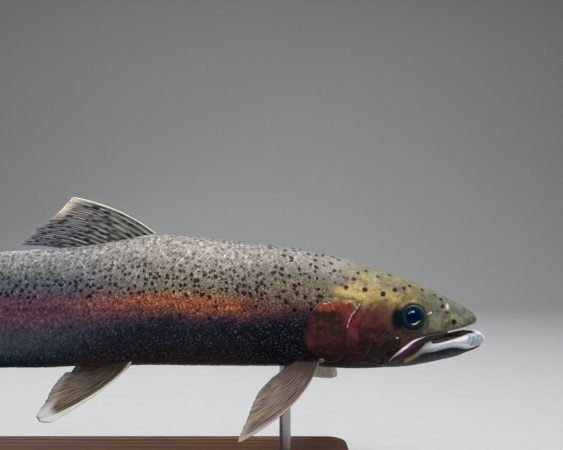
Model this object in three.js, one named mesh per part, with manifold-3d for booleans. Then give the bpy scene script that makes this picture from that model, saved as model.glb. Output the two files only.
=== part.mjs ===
// A life-size rainbow trout, held still on a plain display stand.
// Millimetres, +Z up, +X towards the snout, +Y to the fish's left; the origin is under the stand's middle.
// Places on the fish are given as a station (distance back from the tip of the snout), a side
// (positive to the fish's left) and a height (above the level of the snout's tip).
import * as THREE from 'three';
import { mergeVertices } from 'three/addons/utils/BufferGeometryUtils.js';
import Module from 'manifold-3d';

const wasm = await Module();
wasm.setup();

// Driving dimensions.
const snoutX = 235;             // the snout's tip, forward of the stand's middle
const snoutZ = 118;             // the snout's tip, above the floor
const swimStart = 290;          // station behind which the body swings to the left
const swimSwing = 15;           // how far the tail's tips swing
const tailTip = 546;            // station of the tail's tips
const gap = 0.3;                // clearance between neighbouring pieces
const tidyTolerance = 0.1;      // slivers thinner than this are cleared from cut pieces
const aroundBody = 28;          // points round one body section

const eye = { at: 46.6, height: 2.8, radius: 8.5, flatness: 0.72, proud: 2.4, sides: 14, rings: 9 };
const plate = { gillProud: 0.8, gillDeep: 3.4, jawProud: 0.9, jawDeep: 1.6 };
const stand = { length: 300, width: 140, height: 16, corner: 16, chamfer: 2, rod: 4, rodSides: 20 };
const rodStations = { stand_rod_front: 133, stand_rod_rear: 345 };
const headEnd = { nape: 101, throat: 109 };
const ventStation = 338;

// Sections of the body: top and bottom heights, half width, the height where it is widest,
// and how square its back and its belly are (2 is an ellipse).
const bodySections = [
  { at: -0.4, top: 0.6, bottom: -2.2, half: 2.8, widest: -0.8, back: 2.0, belly: 2.0 },
  { at: 0.5, top: 2.1, bottom: -3.6, half: 5.8, widest: -0.9, back: 2.1, belly: 2.2 },
  { at: 2.2, top: 4.1, bottom: -4.6, half: 8.6, widest: -1.1, back: 2.1, belly: 2.3 },
  { at: 6.0, top: 6.7, bottom: -5.4, half: 11.6, widest: -1.5, back: 2.1, belly: 2.4 },
  { at: 12.6, top: 10.5, bottom: -7.6, half: 14.2, widest: -2.6, back: 2.1, belly: 2.6 },
  { at: 24, top: 16.4, bottom: -11.0, half: 16.8, widest: -3.6, back: 2.1, belly: 2.6 },
  { at: 36, top: 22.4, bottom: -20.0, half: 18.6, widest: -4.0, back: 2.15, belly: 2.2 },
  { at: 50, top: 28.0, bottom: -31.0, half: 20.4, widest: -4.0, back: 2.2, belly: 1.9 },
  { at: 68, top: 34.3, bottom: -34.4, half: 23.0, widest: -3.0, back: 2.15, belly: 1.9 },
  { at: 86, top: 40.4, bottom: -34.7, half: 25.4, widest: -1.0, back: 2.05, belly: 2.0 },
  { at: 105, top: 44.8, bottom: -33.8, half: 26.7, widest: 1.5, back: 2.0, belly: 2.05 },
  { at: 124, top: 48.8, bottom: -33.3, half: 26.6, widest: 4.0, back: 1.95, belly: 2.1 },
  { at: 158, top: 52.9, bottom: -33.2, half: 27.0, widest: 7.0, back: 1.95, belly: 2.15 },
  { at: 192, top: 56.6, bottom: -33.0, half: 27.4, widest: 8.5, back: 1.95, belly: 2.15 },
  { at: 221, top: 58.9, bottom: -32.7, half: 26.8, widest: 9.0, back: 1.95, belly: 2.15 },
  { at: 248, top: 54.8, bottom: -32.8, half: 25.4, widest: 8.5, back: 1.95, belly: 2.1 },
  { at: 274, top: 50.6, bottom: -33.3, half: 23.6, widest: 8.0, back: 2.0, belly: 2.1 },
  { at: 305, top: 48.4, bottom: -34.6, half: 20.8, widest: 7.5, back: 2.0, belly: 2.05 },
  { at: 335, top: 46.2, bottom: -34.6, half: 17.6, widest: 7.0, back: 2.0, belly: 2.0 },
  { at: 365, top: 42.0, bottom: -27.0, half: 14.6, widest: 7.0, back: 2.0, belly: 2.0 },
  { at: 395, top: 36.0, bottom: -20.0, half: 12.0, widest: 6.5, back: 2.0, belly: 2.0 },
  { at: 430, top: 29.6, bottom: -16.4, half: 9.0, widest: 6.0, back: 2.0, belly: 2.0 },
  { at: 456, top: 29.2, bottom: -16.8, half: 6.2, widest: 6.0, back: 2.0, belly: 2.0 },
  { at: 470, top: 29.6, bottom: -17.6, half: 4.4, widest: 6.0, back: 2.0, belly: 2.0 },
  { at: 477, top: 28.0, bottom: -16.0, half: 2.8, widest: 6.0, back: 2.0, belly: 2.0 },
  { at: 483, top: 23.0, bottom: -11.0, half: 1.2, widest: 6.0, back: 2.0, belly: 2.0 },
];

// The lower jaw has its own sections; its rear end lies inside the head.
const jawSections = [
  { at: -5.5, top: -13.6, bottom: -16.6, half: 2.4, widest: -15.0, back: 2.0, belly: 2.0 },
  { at: -3.4, top: -11.0, bottom: -18.9, half: 6.4, widest: -14.6, back: 2.3, belly: 2.0 },
  { at: 0.4, top: -8.7, bottom: -21.2, half: 9.6, widest: -14.0, back: 2.8, belly: 2.0 },
  { at: 6.5, top: -8.6, bottom: -23.6, half: 12.0, widest: -14.0, back: 3.0, belly: 1.9 },
  { at: 14, top: -9.0, bottom: -26.6, half: 13.8, widest: -15.5, back: 3.0, belly: 1.8 },
  { at: 24, top: -10.0, bottom: -28.8, half: 15.4, widest: -17.0, back: 3.0, belly: 1.8 },
  { at: 36, top: -12.0, bottom: -31.4, half: 17.0, widest: -18.0, back: 3.0, belly: 1.8 },
  { at: 50, top: -14.0, bottom: -33.6, half: 18.4, widest: -18.0, back: 2.6, belly: 1.8 },
  { at: 62, top: -15.0, bottom: -34.2, half: 18.8, widest: -18.0, back: 2.4, belly: 1.8 },
  { at: 72, top: -18.0, bottom: -32.4, half: 14.0, widest: -24.0, back: 2.0, belly: 2.0 },
];

// Side outlines, as [station, height] corners that a smooth curve runs through.
const gillCoverEdge = [
  [83, 12.9], [95, 16.6], [106.6, 15], [114, 8.6], [119.2, -2.6], [120, -13.2], [114.6, -22.2],
  [107.4, -27.4], [98, -27.6], [93.4, -22.6], [94.4, -13.2], [92.2, -3.2], [87, 5.6],
];
const gillRear = gillCoverEdge.slice(2, 8);
const maxillaEdge = [
  [22, -7.2], [31, -8.4], [39.8, -10.4], [46, -12.4], [51, -15.8], [56, -19.8], [60.2, -23.8],
  [62.8, -27.2], [59.4, -28.4], [52.8, -26], [45.2, -22], [40, -17.2], [34.6, -13.4], [28, -11.2],
];
const mouthRoof = [[-0.8, -0.4], [0.2, -2.6], [2.2, -3.6], [8, -4.6], [18, -6.6], [26, -7.8], [36, -11]];
const mouthFloor = [
  [33, -15.4], [27, -14.6], [21, -13.5], [16, -12.2], [8.8, -10.2], [2.2, -8.3], [-3, -8.2],
];
const jawRear = [[33, -15.4], [41, -19.6], [51, -27.4], [62, -30], [65, -42]];

// Curves and places.
const swing = (at) => {
  const past = Math.max(0, at - swimStart) / (tailTip - swimStart);
  return swimSwing * past * past;
};

const place = (at, side, height) => new THREE.Vector3(snoutX - at, side + swing(at), snoutZ + height);

// A smooth value between sections, with no overshoot past either neighbour.
function along(sections, key, at) {
  const last = sections.length - 2;
  let i = sections.findIndex((section) => section.at > at) - 1;
  if (i === -2) i = last;
  i = Math.min(Math.max(i, 0), last);
  const slope = (k) => (sections[k + 1][key] - sections[k][key]) / (sections[k + 1].at - sections[k].at);
  const tangent = (k) => {
    if (k === 0 || k > last) return slope(Math.min(k, last));
    const before = slope(k - 1);
    const after = slope(k);
    return before * after <= 0 ? 0 : (2 * before * after) / (before + after);
  };
  const span = sections[i + 1].at - sections[i].at;
  const t = Math.min(Math.max((at - sections[i].at) / span, 0), 1);
  const rise = t * t * (3 - 2 * t);
  return sections[i][key] + (sections[i + 1][key] - sections[i][key]) * rise
    + span * (tangent(i) * t * (1 - t) ** 2 - tangent(i + 1) * (1 - t) * t * t);
}

const signedPower = (value, power) => Math.sign(value) * Math.abs(value) ** power;

// One point of a section's outline, grown outwards by extra.
function sectionPoint(sections, at, angle, extra) {
  const value = (key) => along(sections, key, at);
  const upper = Math.sin(angle) >= 0;
  const power = 2 / value(upper ? 'back' : 'belly');
  const reach = (upper ? value('top') - value('widest') : value('widest') - value('bottom')) + extra;
  const side = (value('half') + extra) * signedPower(Math.cos(angle), power);
  const height = value('widest') + reach * signedPower(Math.sin(angle), power);
  return place(at, side, height);
}

// Stations between the first and last section, closer together where the sections are.
function stationsOf(sections, between) {
  const list = [];
  for (let i = 0; i < sections.length - 1; i++) {
    const steps = Math.max(1, Math.ceil((sections[i + 1].at - sections[i].at) / between));
    for (let k = 0; k < steps; k++) {
      list.push(sections[i].at + ((sections[i + 1].at - sections[i].at) * k) / steps);
    }
  }
  list.push(sections[sections.length - 1].at);
  return list;
}

// Solids.
function closedMesh(points, faces) {
  const geometry = new THREE.BufferGeometry();
  const places = points.flatMap((point) => point.toArray());
  geometry.setAttribute('position', new THREE.Float32BufferAttribute(places, 3));
  geometry.setIndex(faces.flat());
  return geometry;
}

function solidOf(geometry) {
  const bare = geometry.clone();
  bare.deleteAttribute('normal');
  bare.deleteAttribute('uv');
  const merged = mergeVertices(bare, 1e-4);
  return new wasm.Manifold(new wasm.Mesh({
    numProp: 3,
    vertProperties: new Float32Array(merged.attributes.position.array),
    triVerts: new Uint32Array(merged.index.array),
  }));
}

function geometryOf(solid) {
  const mesh = solid.getMesh();
  const geometry = new THREE.BufferGeometry();
  geometry.setAttribute('position', new THREE.BufferAttribute(new Float32Array(mesh.vertProperties), 3));
  geometry.setIndex(new THREE.BufferAttribute(new Uint32Array(mesh.triVerts), 1));
  geometry.computeVertexNormals();
  return geometry;
}

// A skin over rings of points, closed by a fan at each end.
function loft(rings) {
  const count = rings[0].length;
  const points = rings.flat();
  const faces = [];
  const centreOf = (ring) => ring.reduce((sum, p) => sum.add(p), new THREE.Vector3()).divideScalar(count);
  for (let r = 0; r < rings.length - 1; r++) {
    for (let k = 0; k < count; k++) {
      const a = r * count + k;
      const b = r * count + ((k + 1) % count);
      faces.push([a, a + count, b], [b, a + count, b + count]);
    }
  }
  const front = points.push(centreOf(rings[0])) - 1;
  const rear = points.push(centreOf(rings[rings.length - 1])) - 1;
  const lastRing = (rings.length - 1) * count;
  for (let k = 0; k < count; k++) {
    const next = (k + 1) % count;
    faces.push([front, k, next], [rear, lastRing + next, lastRing + k]);
  }
  return solidOf(closedMesh(points, faces));
}

function loftSections(sections, between, extra = 0) {
  const rings = stationsOf(sections, between).map((at) => {
    const ring = [];
    for (let k = 0; k < aroundBody; k++) {
      ring.push(sectionPoint(sections, at, (2 * Math.PI * k) / aroundBody, extra));
    }
    return ring;
  });
  return loft(rings);
}

// A side outline pushed through the fish from one side to the other.
function sidePrism(outline, fromSide, toSide, smooth, steps) {
  const corners = outline.map(([at, height]) => new THREE.Vector2(snoutX - at, snoutZ + height));
  const ring = smooth ? new THREE.CatmullRomCurve3(
    corners.map((c) => new THREE.Vector3(c.x, c.y, 0)), true, 'centripetal',
  ).getPoints(steps).slice(0, -1).map((p) => new THREE.Vector2(p.x, p.y)) : corners;
  const geometry = new THREE.ExtrudeGeometry(new THREE.Shape(ring), {
    depth: toSide - fromSide, bevelEnabled: false, steps: 1,
  });
  geometry.rotateX(Math.PI / 2);
  geometry.translate(0, toSide, 0);
  return solidOf(geometry);
}

const wide = 60;                // further out than any side of the body
const wholeBody = loftSections(bodySections, 15);
const jawLoft = loftSections(jawSections, 10);
const shoulders = wholeBody.add(jawLoft);
const swollenBody = loftSections(bodySections, 15, gap);
const grownBody = swollenBody.add(swollenBody.translate([-gap, 0, 0]));

// Head, trunk and tail.
const far = 80;                 // well above and below the body
const headOutline = [
  [-20, far], [headEnd.nape, far], [headEnd.nape, 18],
  ...gillRear.map(([at, height]) => [at + 0.6, height]),
  [headEnd.throat, -30.8], [headEnd.throat, -far], [-20, -far],
];
const behind = (outline, shift) => outline.map(([at, height]) => [at > 0 ? at + shift : at, height]);
const headPrism = sidePrism(headOutline, -wide, wide, false);
const headClearance = sidePrism(behind(headOutline, gap), -wide, wide, false);
const mouthGap = sidePrism([[-20, -0.4], ...mouthRoof, ...mouthFloor, [-20, -8.2]], -wide, wide, false);
const jawOutline = [[-20, -8.2], ...[...mouthFloor].reverse().slice(0, -1), ...jawRear, [-20, -42]];
const jawPrism = sidePrism(jawOutline, -wide, wide, false);
const jawClearance = jawPrism.add(jawPrism.translate([-gap, 0, gap]));

const frontOf = (at) => sidePrism([[-20, far], [at, far], [at, -far], [-20, -far]], -wide, wide, false);

// A bony plate that lies in the head's side, a little proud of it.
function sidePlate(outline, side, proud, deep, steps) {
  const [low, high] = side < 0 ? [-wide, 0] : [0, wide];
  const prism = sidePrism(outline, low, high, true, steps);
  const outer = loftSections(bodySections, 15, proud).add(loftSections(jawSections, 10, proud));
  const inner = loftSections(bodySections, 15, -deep).add(loftSections(jawSections, 10, -deep));
  return outer.intersect(prism).subtract(inner);
}

// The same outline, grown about its middle, is the bed that the plate lies in.
function grownOutline(outline, extra) {
  const middle = outline.reduce((sum, [at, height]) => [sum[0] + at, sum[1] + height], [0, 0]);
  const centre = middle.map((value) => value / outline.length);
  return outline.map(([at, height]) => {
    const out = new THREE.Vector2(at - centre[0], height - centre[1]);
    out.setLength(out.length() + extra);
    return [centre[0] + out.x, centre[1] + out.y];
  });
}

const plateSteps = 22;
const bedGrowth = 0.5;
const sides = { right: -1, left: 1 };
const plates = {};
let plateBeds = null;
for (const [name, side] of Object.entries(sides)) {
  const gill = [gillCoverEdge, plate.gillProud, plate.gillDeep];
  const upperJaw = [maxillaEdge, plate.jawProud, plate.jawDeep];
  for (const [part, [outline, proud, deep]] of Object.entries({ gill_cover: gill, maxilla: upperJaw })) {
    plates[`${part}_${name}`] = sidePlate(outline, side, proud, deep, plateSteps);
    const bed = sidePlate(grownOutline(outline, bedGrowth), side, proud + 1, deep + gap, plateSteps);
    plateBeds = plateBeds ? plateBeds.add(bed) : bed;
  }
}

// Eyes, mouth floor and tongue.
function ball(radius, at, side, height, scale, widthSegments, heightSegments) {
  const geometry = new THREE.SphereGeometry(radius, widthSegments, heightSegments);
  geometry.rotateX(Math.PI / 2);
  geometry.scale(scale[0], scale[1], scale[2]);
  const middle = place(at, side, height);
  geometry.translate(middle.x, middle.y, middle.z);
  return geometry;
}

const headHalf = sectionPoint(bodySections, eye.at, 0, 0).y;
const eyeSide = headHalf + eye.proud - eye.radius * eye.flatness;
const eyeScale = [1, eye.flatness, 1];
const eyes = {};
let sockets = null;
for (const [name, side] of Object.entries(sides)) {
  const round = [eye.at, side * eyeSide, eye.height, eyeScale, eye.sides, eye.rings];
  eyes[`eye_${name}`] = solidOf(ball(eye.radius, ...round));
  const socket = solidOf(ball(eye.radius + gap, ...round));
  sockets = sockets ? sockets.add(socket) : socket;
}

const trough = solidOf(ball(1, 18, 0, -11.6, [16.5, 9.6, 8], 20, 12));
const tongue = solidOf(ball(1, 17, 0, -15.6, [10, 4.6, 2.2], 14, 8));

const head = shoulders.intersect(headPrism).subtract(mouthGap).subtract(jawClearance)
  .subtract(plateBeds).subtract(sockets);
const lowerJaw = shoulders.intersect(jawPrism).subtract(trough).subtract(plateBeds);
const behindHead = shoulders.subtract(headClearance).subtract(plateBeds);
const trunk = behindHead.intersect(frontOf(ventStation));
const tail = behindHead.subtract(frontOf(ventStation + gap));

// Fins.
// A column's share of the fin's thickness: full on a ray, less between two rays and at the rims.
function columnShare(column, columns) {
  if (column === 0 || column === columns - 1) {
    return 0.7;
  }
  return column % 2 === 0 ? 1 : 0.55;
}

// The points round the edge of a grid of points stored column by column.
function gridRim(columns, row) {
  const columnEnds = Array.from({ length: columns }, (_, i) => i * row);
  const lastColumn = Array.from({ length: row - 1 }, (_, j) => (columns - 1) * row + j + 1);
  const rowEnds = columnEnds.slice(0, -1).map((first) => first + row - 1);
  const firstColumn = Array.from({ length: row - 2 }, (_, j) => j + 1);
  return [...columnEnds, ...lastColumn, ...rowEnds.reverse(), ...firstColumn.reverse()];
}

// Rays fan out from the root to the margin. Each fin is thicker along its rays than between them.
function fin({ root, lead, trail, margin, rays, rootThick, edgeThick, steps = 4 }) {
  const point = ([at, side, height]) => place(at, side, height);
  const edge = new THREE.CatmullRomCurve3(margin.map(point), false, 'centripetal');
  const columns = rays * 2 - 1;
  const grid = [];
  for (let i = 0; i < columns; i++) {
    const u = i / (columns - 1);
    const foot = point(root[0]).lerp(point(root[1]), u);
    const bow = point(lead).lerp(point(trail), u);
    const ray = new THREE.QuadraticBezierCurve3(foot, bow, edge.getPointAt(u));
    grid.push(ray.getPoints(steps));
  }
  const layers = [[], []];
  for (let i = 0; i < columns; i++) {
    for (let j = 0; j <= steps; j++) {
      const across = grid[Math.min(i + 1, columns - 1)][j].clone().sub(grid[Math.max(i - 1, 0)][j]);
      const up = grid[i][Math.min(j + 1, steps)].clone().sub(grid[i][Math.max(j - 1, 0)]);
      const normal = across.cross(up).normalize();
      const share = columnShare(i, columns);
      const thick = Math.max(edgeThick, THREE.MathUtils.lerp(rootThick, edgeThick, j / steps) * share);
      layers[0].push(grid[i][j].clone().addScaledVector(normal, thick / 2));
      layers[1].push(grid[i][j].clone().addScaledVector(normal, -thick / 2));
    }
  }
  const row = steps + 1;
  const below = columns * row;
  const faces = [];
  for (let i = 0; i < columns - 1; i++) {
    for (let j = 0; j < steps; j++) {
      const a = i * row + j;
      faces.push([a, a + row, a + row + 1], [a, a + row + 1, a + 1]);
      faces.push([below + a, below + a + row + 1, below + a + row]);
      faces.push([below + a, below + a + 1, below + a + row + 1]);
    }
  }
  const rim = gridRim(columns, row);
  rim.forEach((a, k) => {
    const b = rim[(k + 1) % rim.length];
    faces.push([a, below + a, below + b], [a, below + b, b]);
  });
  const points = [...layers[0], ...layers[1]];
  const solid = solidOf(closedMesh(points, faces));
  if (solid.volume() > 0) {
    return solid;
  }
  return solidOf(closedMesh(points, faces.map((face) => face.reverse())));
}

const fins = {
  dorsal_fin: {
    root: [[217, 0, 54], [276, 0, 45.5]],
    lead: [244, 0, 78], trail: [296, 0, 51.5],
    margin: [
      [282.4, 0.5, 84.9], [290, 1, 76], [298, 1, 68.6], [307, 0.5, 62.6], [314, 0, 56.6], [318, 0, 51],
    ],
    rays: 11, rootThick: 3.4, edgeThick: 0.7, steps: 3,
  },
  adipose_fin: {
    root: [[372, 0, 37], [390, 0, 33.5]],
    lead: [386, 0, 50], trail: [396, 0, 38.5],
    margin: [[399, 0, 51.5], [405, 0, 51.5], [408.5, 0, 48], [406, 0, 43], [399, 0, 38.8]],
    rays: 4, rootThick: 3, edgeThick: 0.9,
  },
  caudal_fin: {
    root: [[462, 0, 25], [462, 0, -13]],
    lead: [487, 0, 38], trail: [487, 0, -26],
    margin: [
      [544, 0, 56], [546, 0, 53], [538, 0, 40], [529, 0, 24], [524, 0, 6],
      [529, 0, -12], [538, 0, -28], [546, 0, -41], [544, 0, -44],
    ],
    rays: 15, rootThick: 6, edgeThick: 0.7, steps: 3,
  },
  anal_fin: {
    root: [[346, 0, -25], [385, 0, -17.5]],
    lead: [362, 0, -49], trail: [394, 0, -25],
    margin: [[387, 0, -72], [391, 0, -70], [393, 0, -60], [395.5, 0, -48], [401, 0, -38], [404, 0, -31]],
    rays: 10, rootThick: 3, edgeThick: 0.7, steps: 3,
  },
};

const pelvic = {
  root: [[237, -11, -27], [250, -6, -28.5]],
  lead: [248, -18, -45], trail: [264, -9, -36],
  margin: [
    [289, -28, -66.2], [296, -29, -65], [297.6, -28.4, -60.4], [293.4, -25, -53.4],
    [289, -19, -42.8], [283, -12, -35.5],
  ],
  rays: 9, rootThick: 3.2, edgeThick: 0.7, steps: 3,
};
const mirrored = (spec) => {
  const turn = ([at, side, height]) => [at, -side, height];
  return {
    ...spec,
    root: spec.root.map(turn),
    lead: turn(spec.lead),
    trail: turn(spec.trail),
    margin: spec.margin.map(turn),
  };
};
fins.pelvic_fin_right = pelvic;
fins.pelvic_fin_left = mirrored(pelvic);

fins.pectoral_fin_right = {
  root: [[109, -12, -26.5], [121, -10, -24.5]],
  lead: [118, -26, -56], trail: [133, -17, -32],
  margin: [
    [163, -34, -77.4], [164.8, -34, -76.6], [160.6, -32, -68], [156, -28, -57],
    [151, -24, -47], [142, -19, -38],
  ],
  rays: 12, rootThick: 4, edgeThick: 0.7,
};
fins.pectoral_fin_left = {
  root: [[109, 12, -26.5], [121, 10, -24.5]],
  lead: [92, 44, -38], trail: [133, 22, -34],
  margin: [
    [90.6, 79, -57], [95, 83, -59.5], [106, 82, -58.5], [119, 70, -54], [130, 53, -47.5], [137, 34, -40],
  ],
  rays: 12, rootThick: 4, edgeThick: 0.7,
};

// Stand.
function standBase() {
  const x = stand.length / 2 - stand.chamfer;
  const y = stand.width / 2 - stand.chamfer;
  const r = stand.corner;
  const outline = new THREE.Shape();
  outline.moveTo(-x + r, -y);
  outline.lineTo(x - r, -y);
  outline.absarc(x - r, -y + r, r, -Math.PI / 2, 0);
  outline.lineTo(x, y - r);
  outline.absarc(x - r, y - r, r, 0, Math.PI / 2);
  outline.lineTo(-x + r, y);
  outline.absarc(-x + r, y - r, r, Math.PI / 2, Math.PI);
  outline.lineTo(-x, -y + r);
  outline.absarc(-x + r, -y + r, r, Math.PI, 1.5 * Math.PI);
  const geometry = new THREE.ExtrudeGeometry(outline, {
    depth: stand.height - 2 * stand.chamfer, bevelThickness: stand.chamfer, bevelSize: stand.chamfer,
    bevelSegments: 1, curveSegments: 5,
  });
  geometry.translate(0, 0, stand.chamfer);
  return solidOf(geometry);
}

function standRod(at) {
  const low = stand.height + gap;
  const high = snoutZ - 20;
  const geometry = new THREE.CylinderGeometry(stand.rod, stand.rod, high - low, stand.rodSides);
  geometry.rotateX(Math.PI / 2);
  geometry.translate(snoutX - at, swing(at), (high + low) / 2);
  return solidOf(geometry).subtract(grownBody);
}

// The model.
function finish(color, roughness, metalness = 0) {
  return new THREE.MeshStandardMaterial({ color, roughness, metalness });
}
const flesh = finish(0x8a8478, 0.45);
const cheek = finish(0x6e2f34, 0.4);
const jawSkin = finish(0x9aa6ab, 0.4);
const finSkin = finish(0x6f6660, 0.5);
const tongueSkin = finish(0x8f5a56, 0.5);
const eyeGlass = finish(0x1b3448, 0.1);
const wood = finish(0x4a3022, 0.5);
const steel = finish(0xb8babd, 0.3, 1);

const trout = new THREE.Group();
trout.name = 'rainbow_trout';

function addPiece(name, solid, material) {
  const mesh = new THREE.Mesh(geometryOf(solid), material);
  mesh.name = name;
  trout.add(mesh);
}

const tidied = (solid) => solid.asOriginal().simplify(tidyTolerance);

addPiece('head', tidied(head), flesh);
addPiece('lower_jaw', tidied(lowerJaw), jawSkin);
addPiece('tongue', tongue, tongueSkin);
for (const [name, solid] of Object.entries(plates)) {
  addPiece(name, tidied(solid), cheek);
}
for (const [name, solid] of Object.entries(eyes)) {
  addPiece(name, solid, eyeGlass);
}
addPiece('trunk', tidied(trunk), flesh);
addPiece('tail', tidied(tail), flesh);
const finClearance = Object.values(plates).reduce((sum, solid) => sum.add(solid), grownBody);
for (const [name, spec] of Object.entries(fins)) {
  addPiece(name, tidied(fin(spec).subtract(finClearance)), finSkin);
}
addPiece('stand_base', standBase(), wood);
for (const [name, at] of Object.entries(rodStations)) {
  addPiece(name, standRod(at), steel);
}

export default trout;
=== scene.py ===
import math

import bmesh
import bpy
import numpy as np
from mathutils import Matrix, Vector


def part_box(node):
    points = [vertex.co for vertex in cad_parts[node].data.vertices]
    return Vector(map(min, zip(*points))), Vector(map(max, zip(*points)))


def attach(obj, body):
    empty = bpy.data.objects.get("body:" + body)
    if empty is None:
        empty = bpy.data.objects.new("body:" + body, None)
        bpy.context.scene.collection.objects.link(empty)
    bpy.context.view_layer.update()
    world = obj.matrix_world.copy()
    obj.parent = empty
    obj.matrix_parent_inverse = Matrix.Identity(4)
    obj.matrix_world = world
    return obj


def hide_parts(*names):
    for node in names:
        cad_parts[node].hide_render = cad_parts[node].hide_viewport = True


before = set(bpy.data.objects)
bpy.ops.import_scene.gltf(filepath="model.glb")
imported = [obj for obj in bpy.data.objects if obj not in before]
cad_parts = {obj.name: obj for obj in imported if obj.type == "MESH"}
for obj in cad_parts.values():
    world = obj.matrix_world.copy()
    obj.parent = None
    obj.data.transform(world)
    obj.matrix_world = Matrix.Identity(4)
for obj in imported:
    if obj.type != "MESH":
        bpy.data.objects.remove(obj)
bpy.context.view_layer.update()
mm = 0.001
dice = np.random.default_rng(11)
print("frame loaded:", len(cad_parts), "nodes")


# the fish's form, in millimetres: station back from the snout's tip, side, height over the tip
form = {
    "snoutX": 235, "snoutZ": 118,                       # the snout's tip in the frame
    "swimStart": 290, "swimSwing": 15, "tailTip": 546,  # the tail's swing to the left
    "coatDepth": 0.55,                                  # how far the skin lies under the scales' tips
    "leftGirth": 300,                                   # keeps the left side's pattern apart from the right's
    # station, top, bottom, half width, widest height, squareness of back and belly
    "body": np.array([
        (-0.4, 0.6, -2.2, 2.8, -0.8, 2, 2), (0.5, 2.1, -3.6, 5.8, -0.9, 2.1, 2.2),
        (2.2, 4.1, -4.6, 8.6, -1.1, 2.1, 2.3), (6, 6.7, -5.4, 11.6, -1.5, 2.1, 2.4),
        (12.6, 10.5, -7.6, 14.2, -2.6, 2.1, 2.6), (24, 16.4, -11, 16.8, -3.6, 2.1, 2.6),
        (36, 22.4, -20, 18.6, -4, 2.15, 2.2), (50, 28, -31, 20.4, -4, 2.2, 1.9),
        (68, 34.3, -34.4, 23, -3, 2.15, 1.9), (86, 40.4, -34.7, 25.4, -1, 2.05, 2),
        (105, 44.8, -33.8, 26.7, 1.5, 2, 2.05), (124, 48.8, -33.3, 26.6, 4, 1.95, 2.1),
        (158, 52.9, -33.2, 27, 7, 1.95, 2.15), (192, 56.6, -33, 27.4, 8.5, 1.95, 2.15),
        (221, 58.9, -32.7, 26.8, 9, 1.95, 2.15), (248, 54.8, -32.8, 25.4, 8.5, 1.95, 2.1),
        (274, 50.6, -33.3, 23.6, 8, 2, 2.1), (305, 48.4, -34.6, 20.8, 7.5, 2, 2.05),
        (335, 46.2, -34.6, 17.6, 7, 2, 2), (365, 42, -27, 14.6, 7, 2, 2),
        (395, 36, -20, 12, 6.5, 2, 2), (430, 29.6, -16.4, 9, 6, 2, 2),
        (456, 29.2, -16.8, 6.2, 6, 2, 2), (470, 29.6, -17.6, 4.4, 6, 2, 2),
        (477, 28, -16, 2.8, 6, 2, 2), (483, 23, -11, 1.2, 6, 2, 2),
    ]),
    "jaw": np.array([
        (-5.5, -13.6, -16.6, 2.4, -15, 2, 2), (-3.4, -11, -18.9, 6.4, -14.6, 2.3, 2),
        (0.4, -8.7, -21.2, 9.6, -14, 2.8, 2), (6.5, -8.6, -23.6, 12, -14, 3, 1.9),
        (14, -9, -26.6, 13.8, -15.5, 3, 1.8), (24, -10, -28.8, 15.4, -17, 3, 1.8),
        (36, -12, -31.4, 17, -18, 3, 1.8), (50, -14, -33.6, 18.4, -18, 2.6, 1.8),
        (62, -15, -34.2, 18.8, -18, 2.4, 1.8), (72, -18, -32.4, 14, -24, 2, 2),
    ]),
}
skinEnd = form["body"][-1, 0]


def curveThrough(xs, ys, x):  # smooth between the given values, with no overshoot
    xs, ys = np.asarray(xs, float), np.asarray(ys, float)
    x = np.clip(x, xs[0], xs[-1])
    slopes = np.diff(ys) / np.diff(xs)
    tangents = np.concatenate([slopes[:1], np.zeros(len(xs) - 2), slopes[-1:]])
    product, total = slopes[:-1] * slopes[1:], slopes[:-1] + slopes[1:]
    tangents[1:-1] = np.where(product > 0, 2 * product / np.where(total == 0, 1, total), 0)
    i = np.clip(np.searchsorted(xs, x, side="right") - 1, 0, len(xs) - 2)
    span = xs[i + 1] - xs[i]
    t = (x - xs[i]) / span
    rise = ys[i] + (ys[i + 1] - ys[i]) * t * t * (3 - 2 * t)
    return rise + span * (tangents[i] * t * (1 - t) ** 2 - tangents[i + 1] * (1 - t) * t * t)


def sectionAt(part, at):  # top, bottom, half width, widest height, back and belly squareness
    table = form[part]
    return [curveThrough(table[:, 0], table[:, k], at) for k in range(1, 7)]


def swing(at):
    past = np.maximum(0, at - form["swimStart"]) / (form["tailTip"] - form["swimStart"])
    return form["swimSwing"] * past * past


def place(at, side, height):  # station, side and height to metres in the frame
    at, side, height = np.broadcast_arrays(np.asarray(at, float), side, height)
    return np.stack([form["snoutX"] - at, side + swing(at), form["snoutZ"] + height], -1) * mm


def sidewise(points):  # metres in the frame back to station, side and height
    at = form["snoutX"] - points[:, 0] / mm
    return at, points[:, 1] / mm - swing(at), points[:, 2] / mm - form["snoutZ"]


def ringPoint(part, at, angle):  # a point of the form's surface
    top, bottom, half, widest, back, belly = sectionAt(part, at)
    sine, cosine = np.sin(angle), np.cos(angle)
    power = 2 / np.where(sine >= 0, back, belly)
    reach = np.where(sine >= 0, top - widest, widest - bottom)
    side = half * np.sign(cosine) * np.abs(cosine) ** power
    return side, widest + reach * np.sign(sine) * np.abs(sine) ** power


def ringNormal(part, at, angle):  # the surface's outward direction, in station, side and height
    def spot(a, t):
        side, height = ringPoint(part, a, t)
        return np.stack([a + 0 * t, side, height], -1)
    down = spot(at + 0.3, angle) - spot(at - 0.3, angle)
    around = spot(at, angle + 0.01) - spot(at, angle - 0.01)
    normal = np.cross(around, down)
    normal /= np.linalg.norm(normal, axis=-1, keepdims=True) + 1e-12
    outward = normal[..., 1] * np.cos(angle) + normal[..., 2] * np.sin(angle)
    return normal * np.where(outward < 0, -1, 1)[..., None]


def sideAt(part, at, height):  # half width of the form at a height, 0 above and below it
    top, bottom, half, widest, back, belly = sectionAt(part, at)
    upper = height >= widest
    share = np.abs(height - widest) / np.where(upper, top - widest, widest - bottom)
    power = np.where(upper, back, belly)
    return half * np.clip(1 - np.clip(share, 0, 1) ** power, 0, 1) ** (1 / power)


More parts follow.
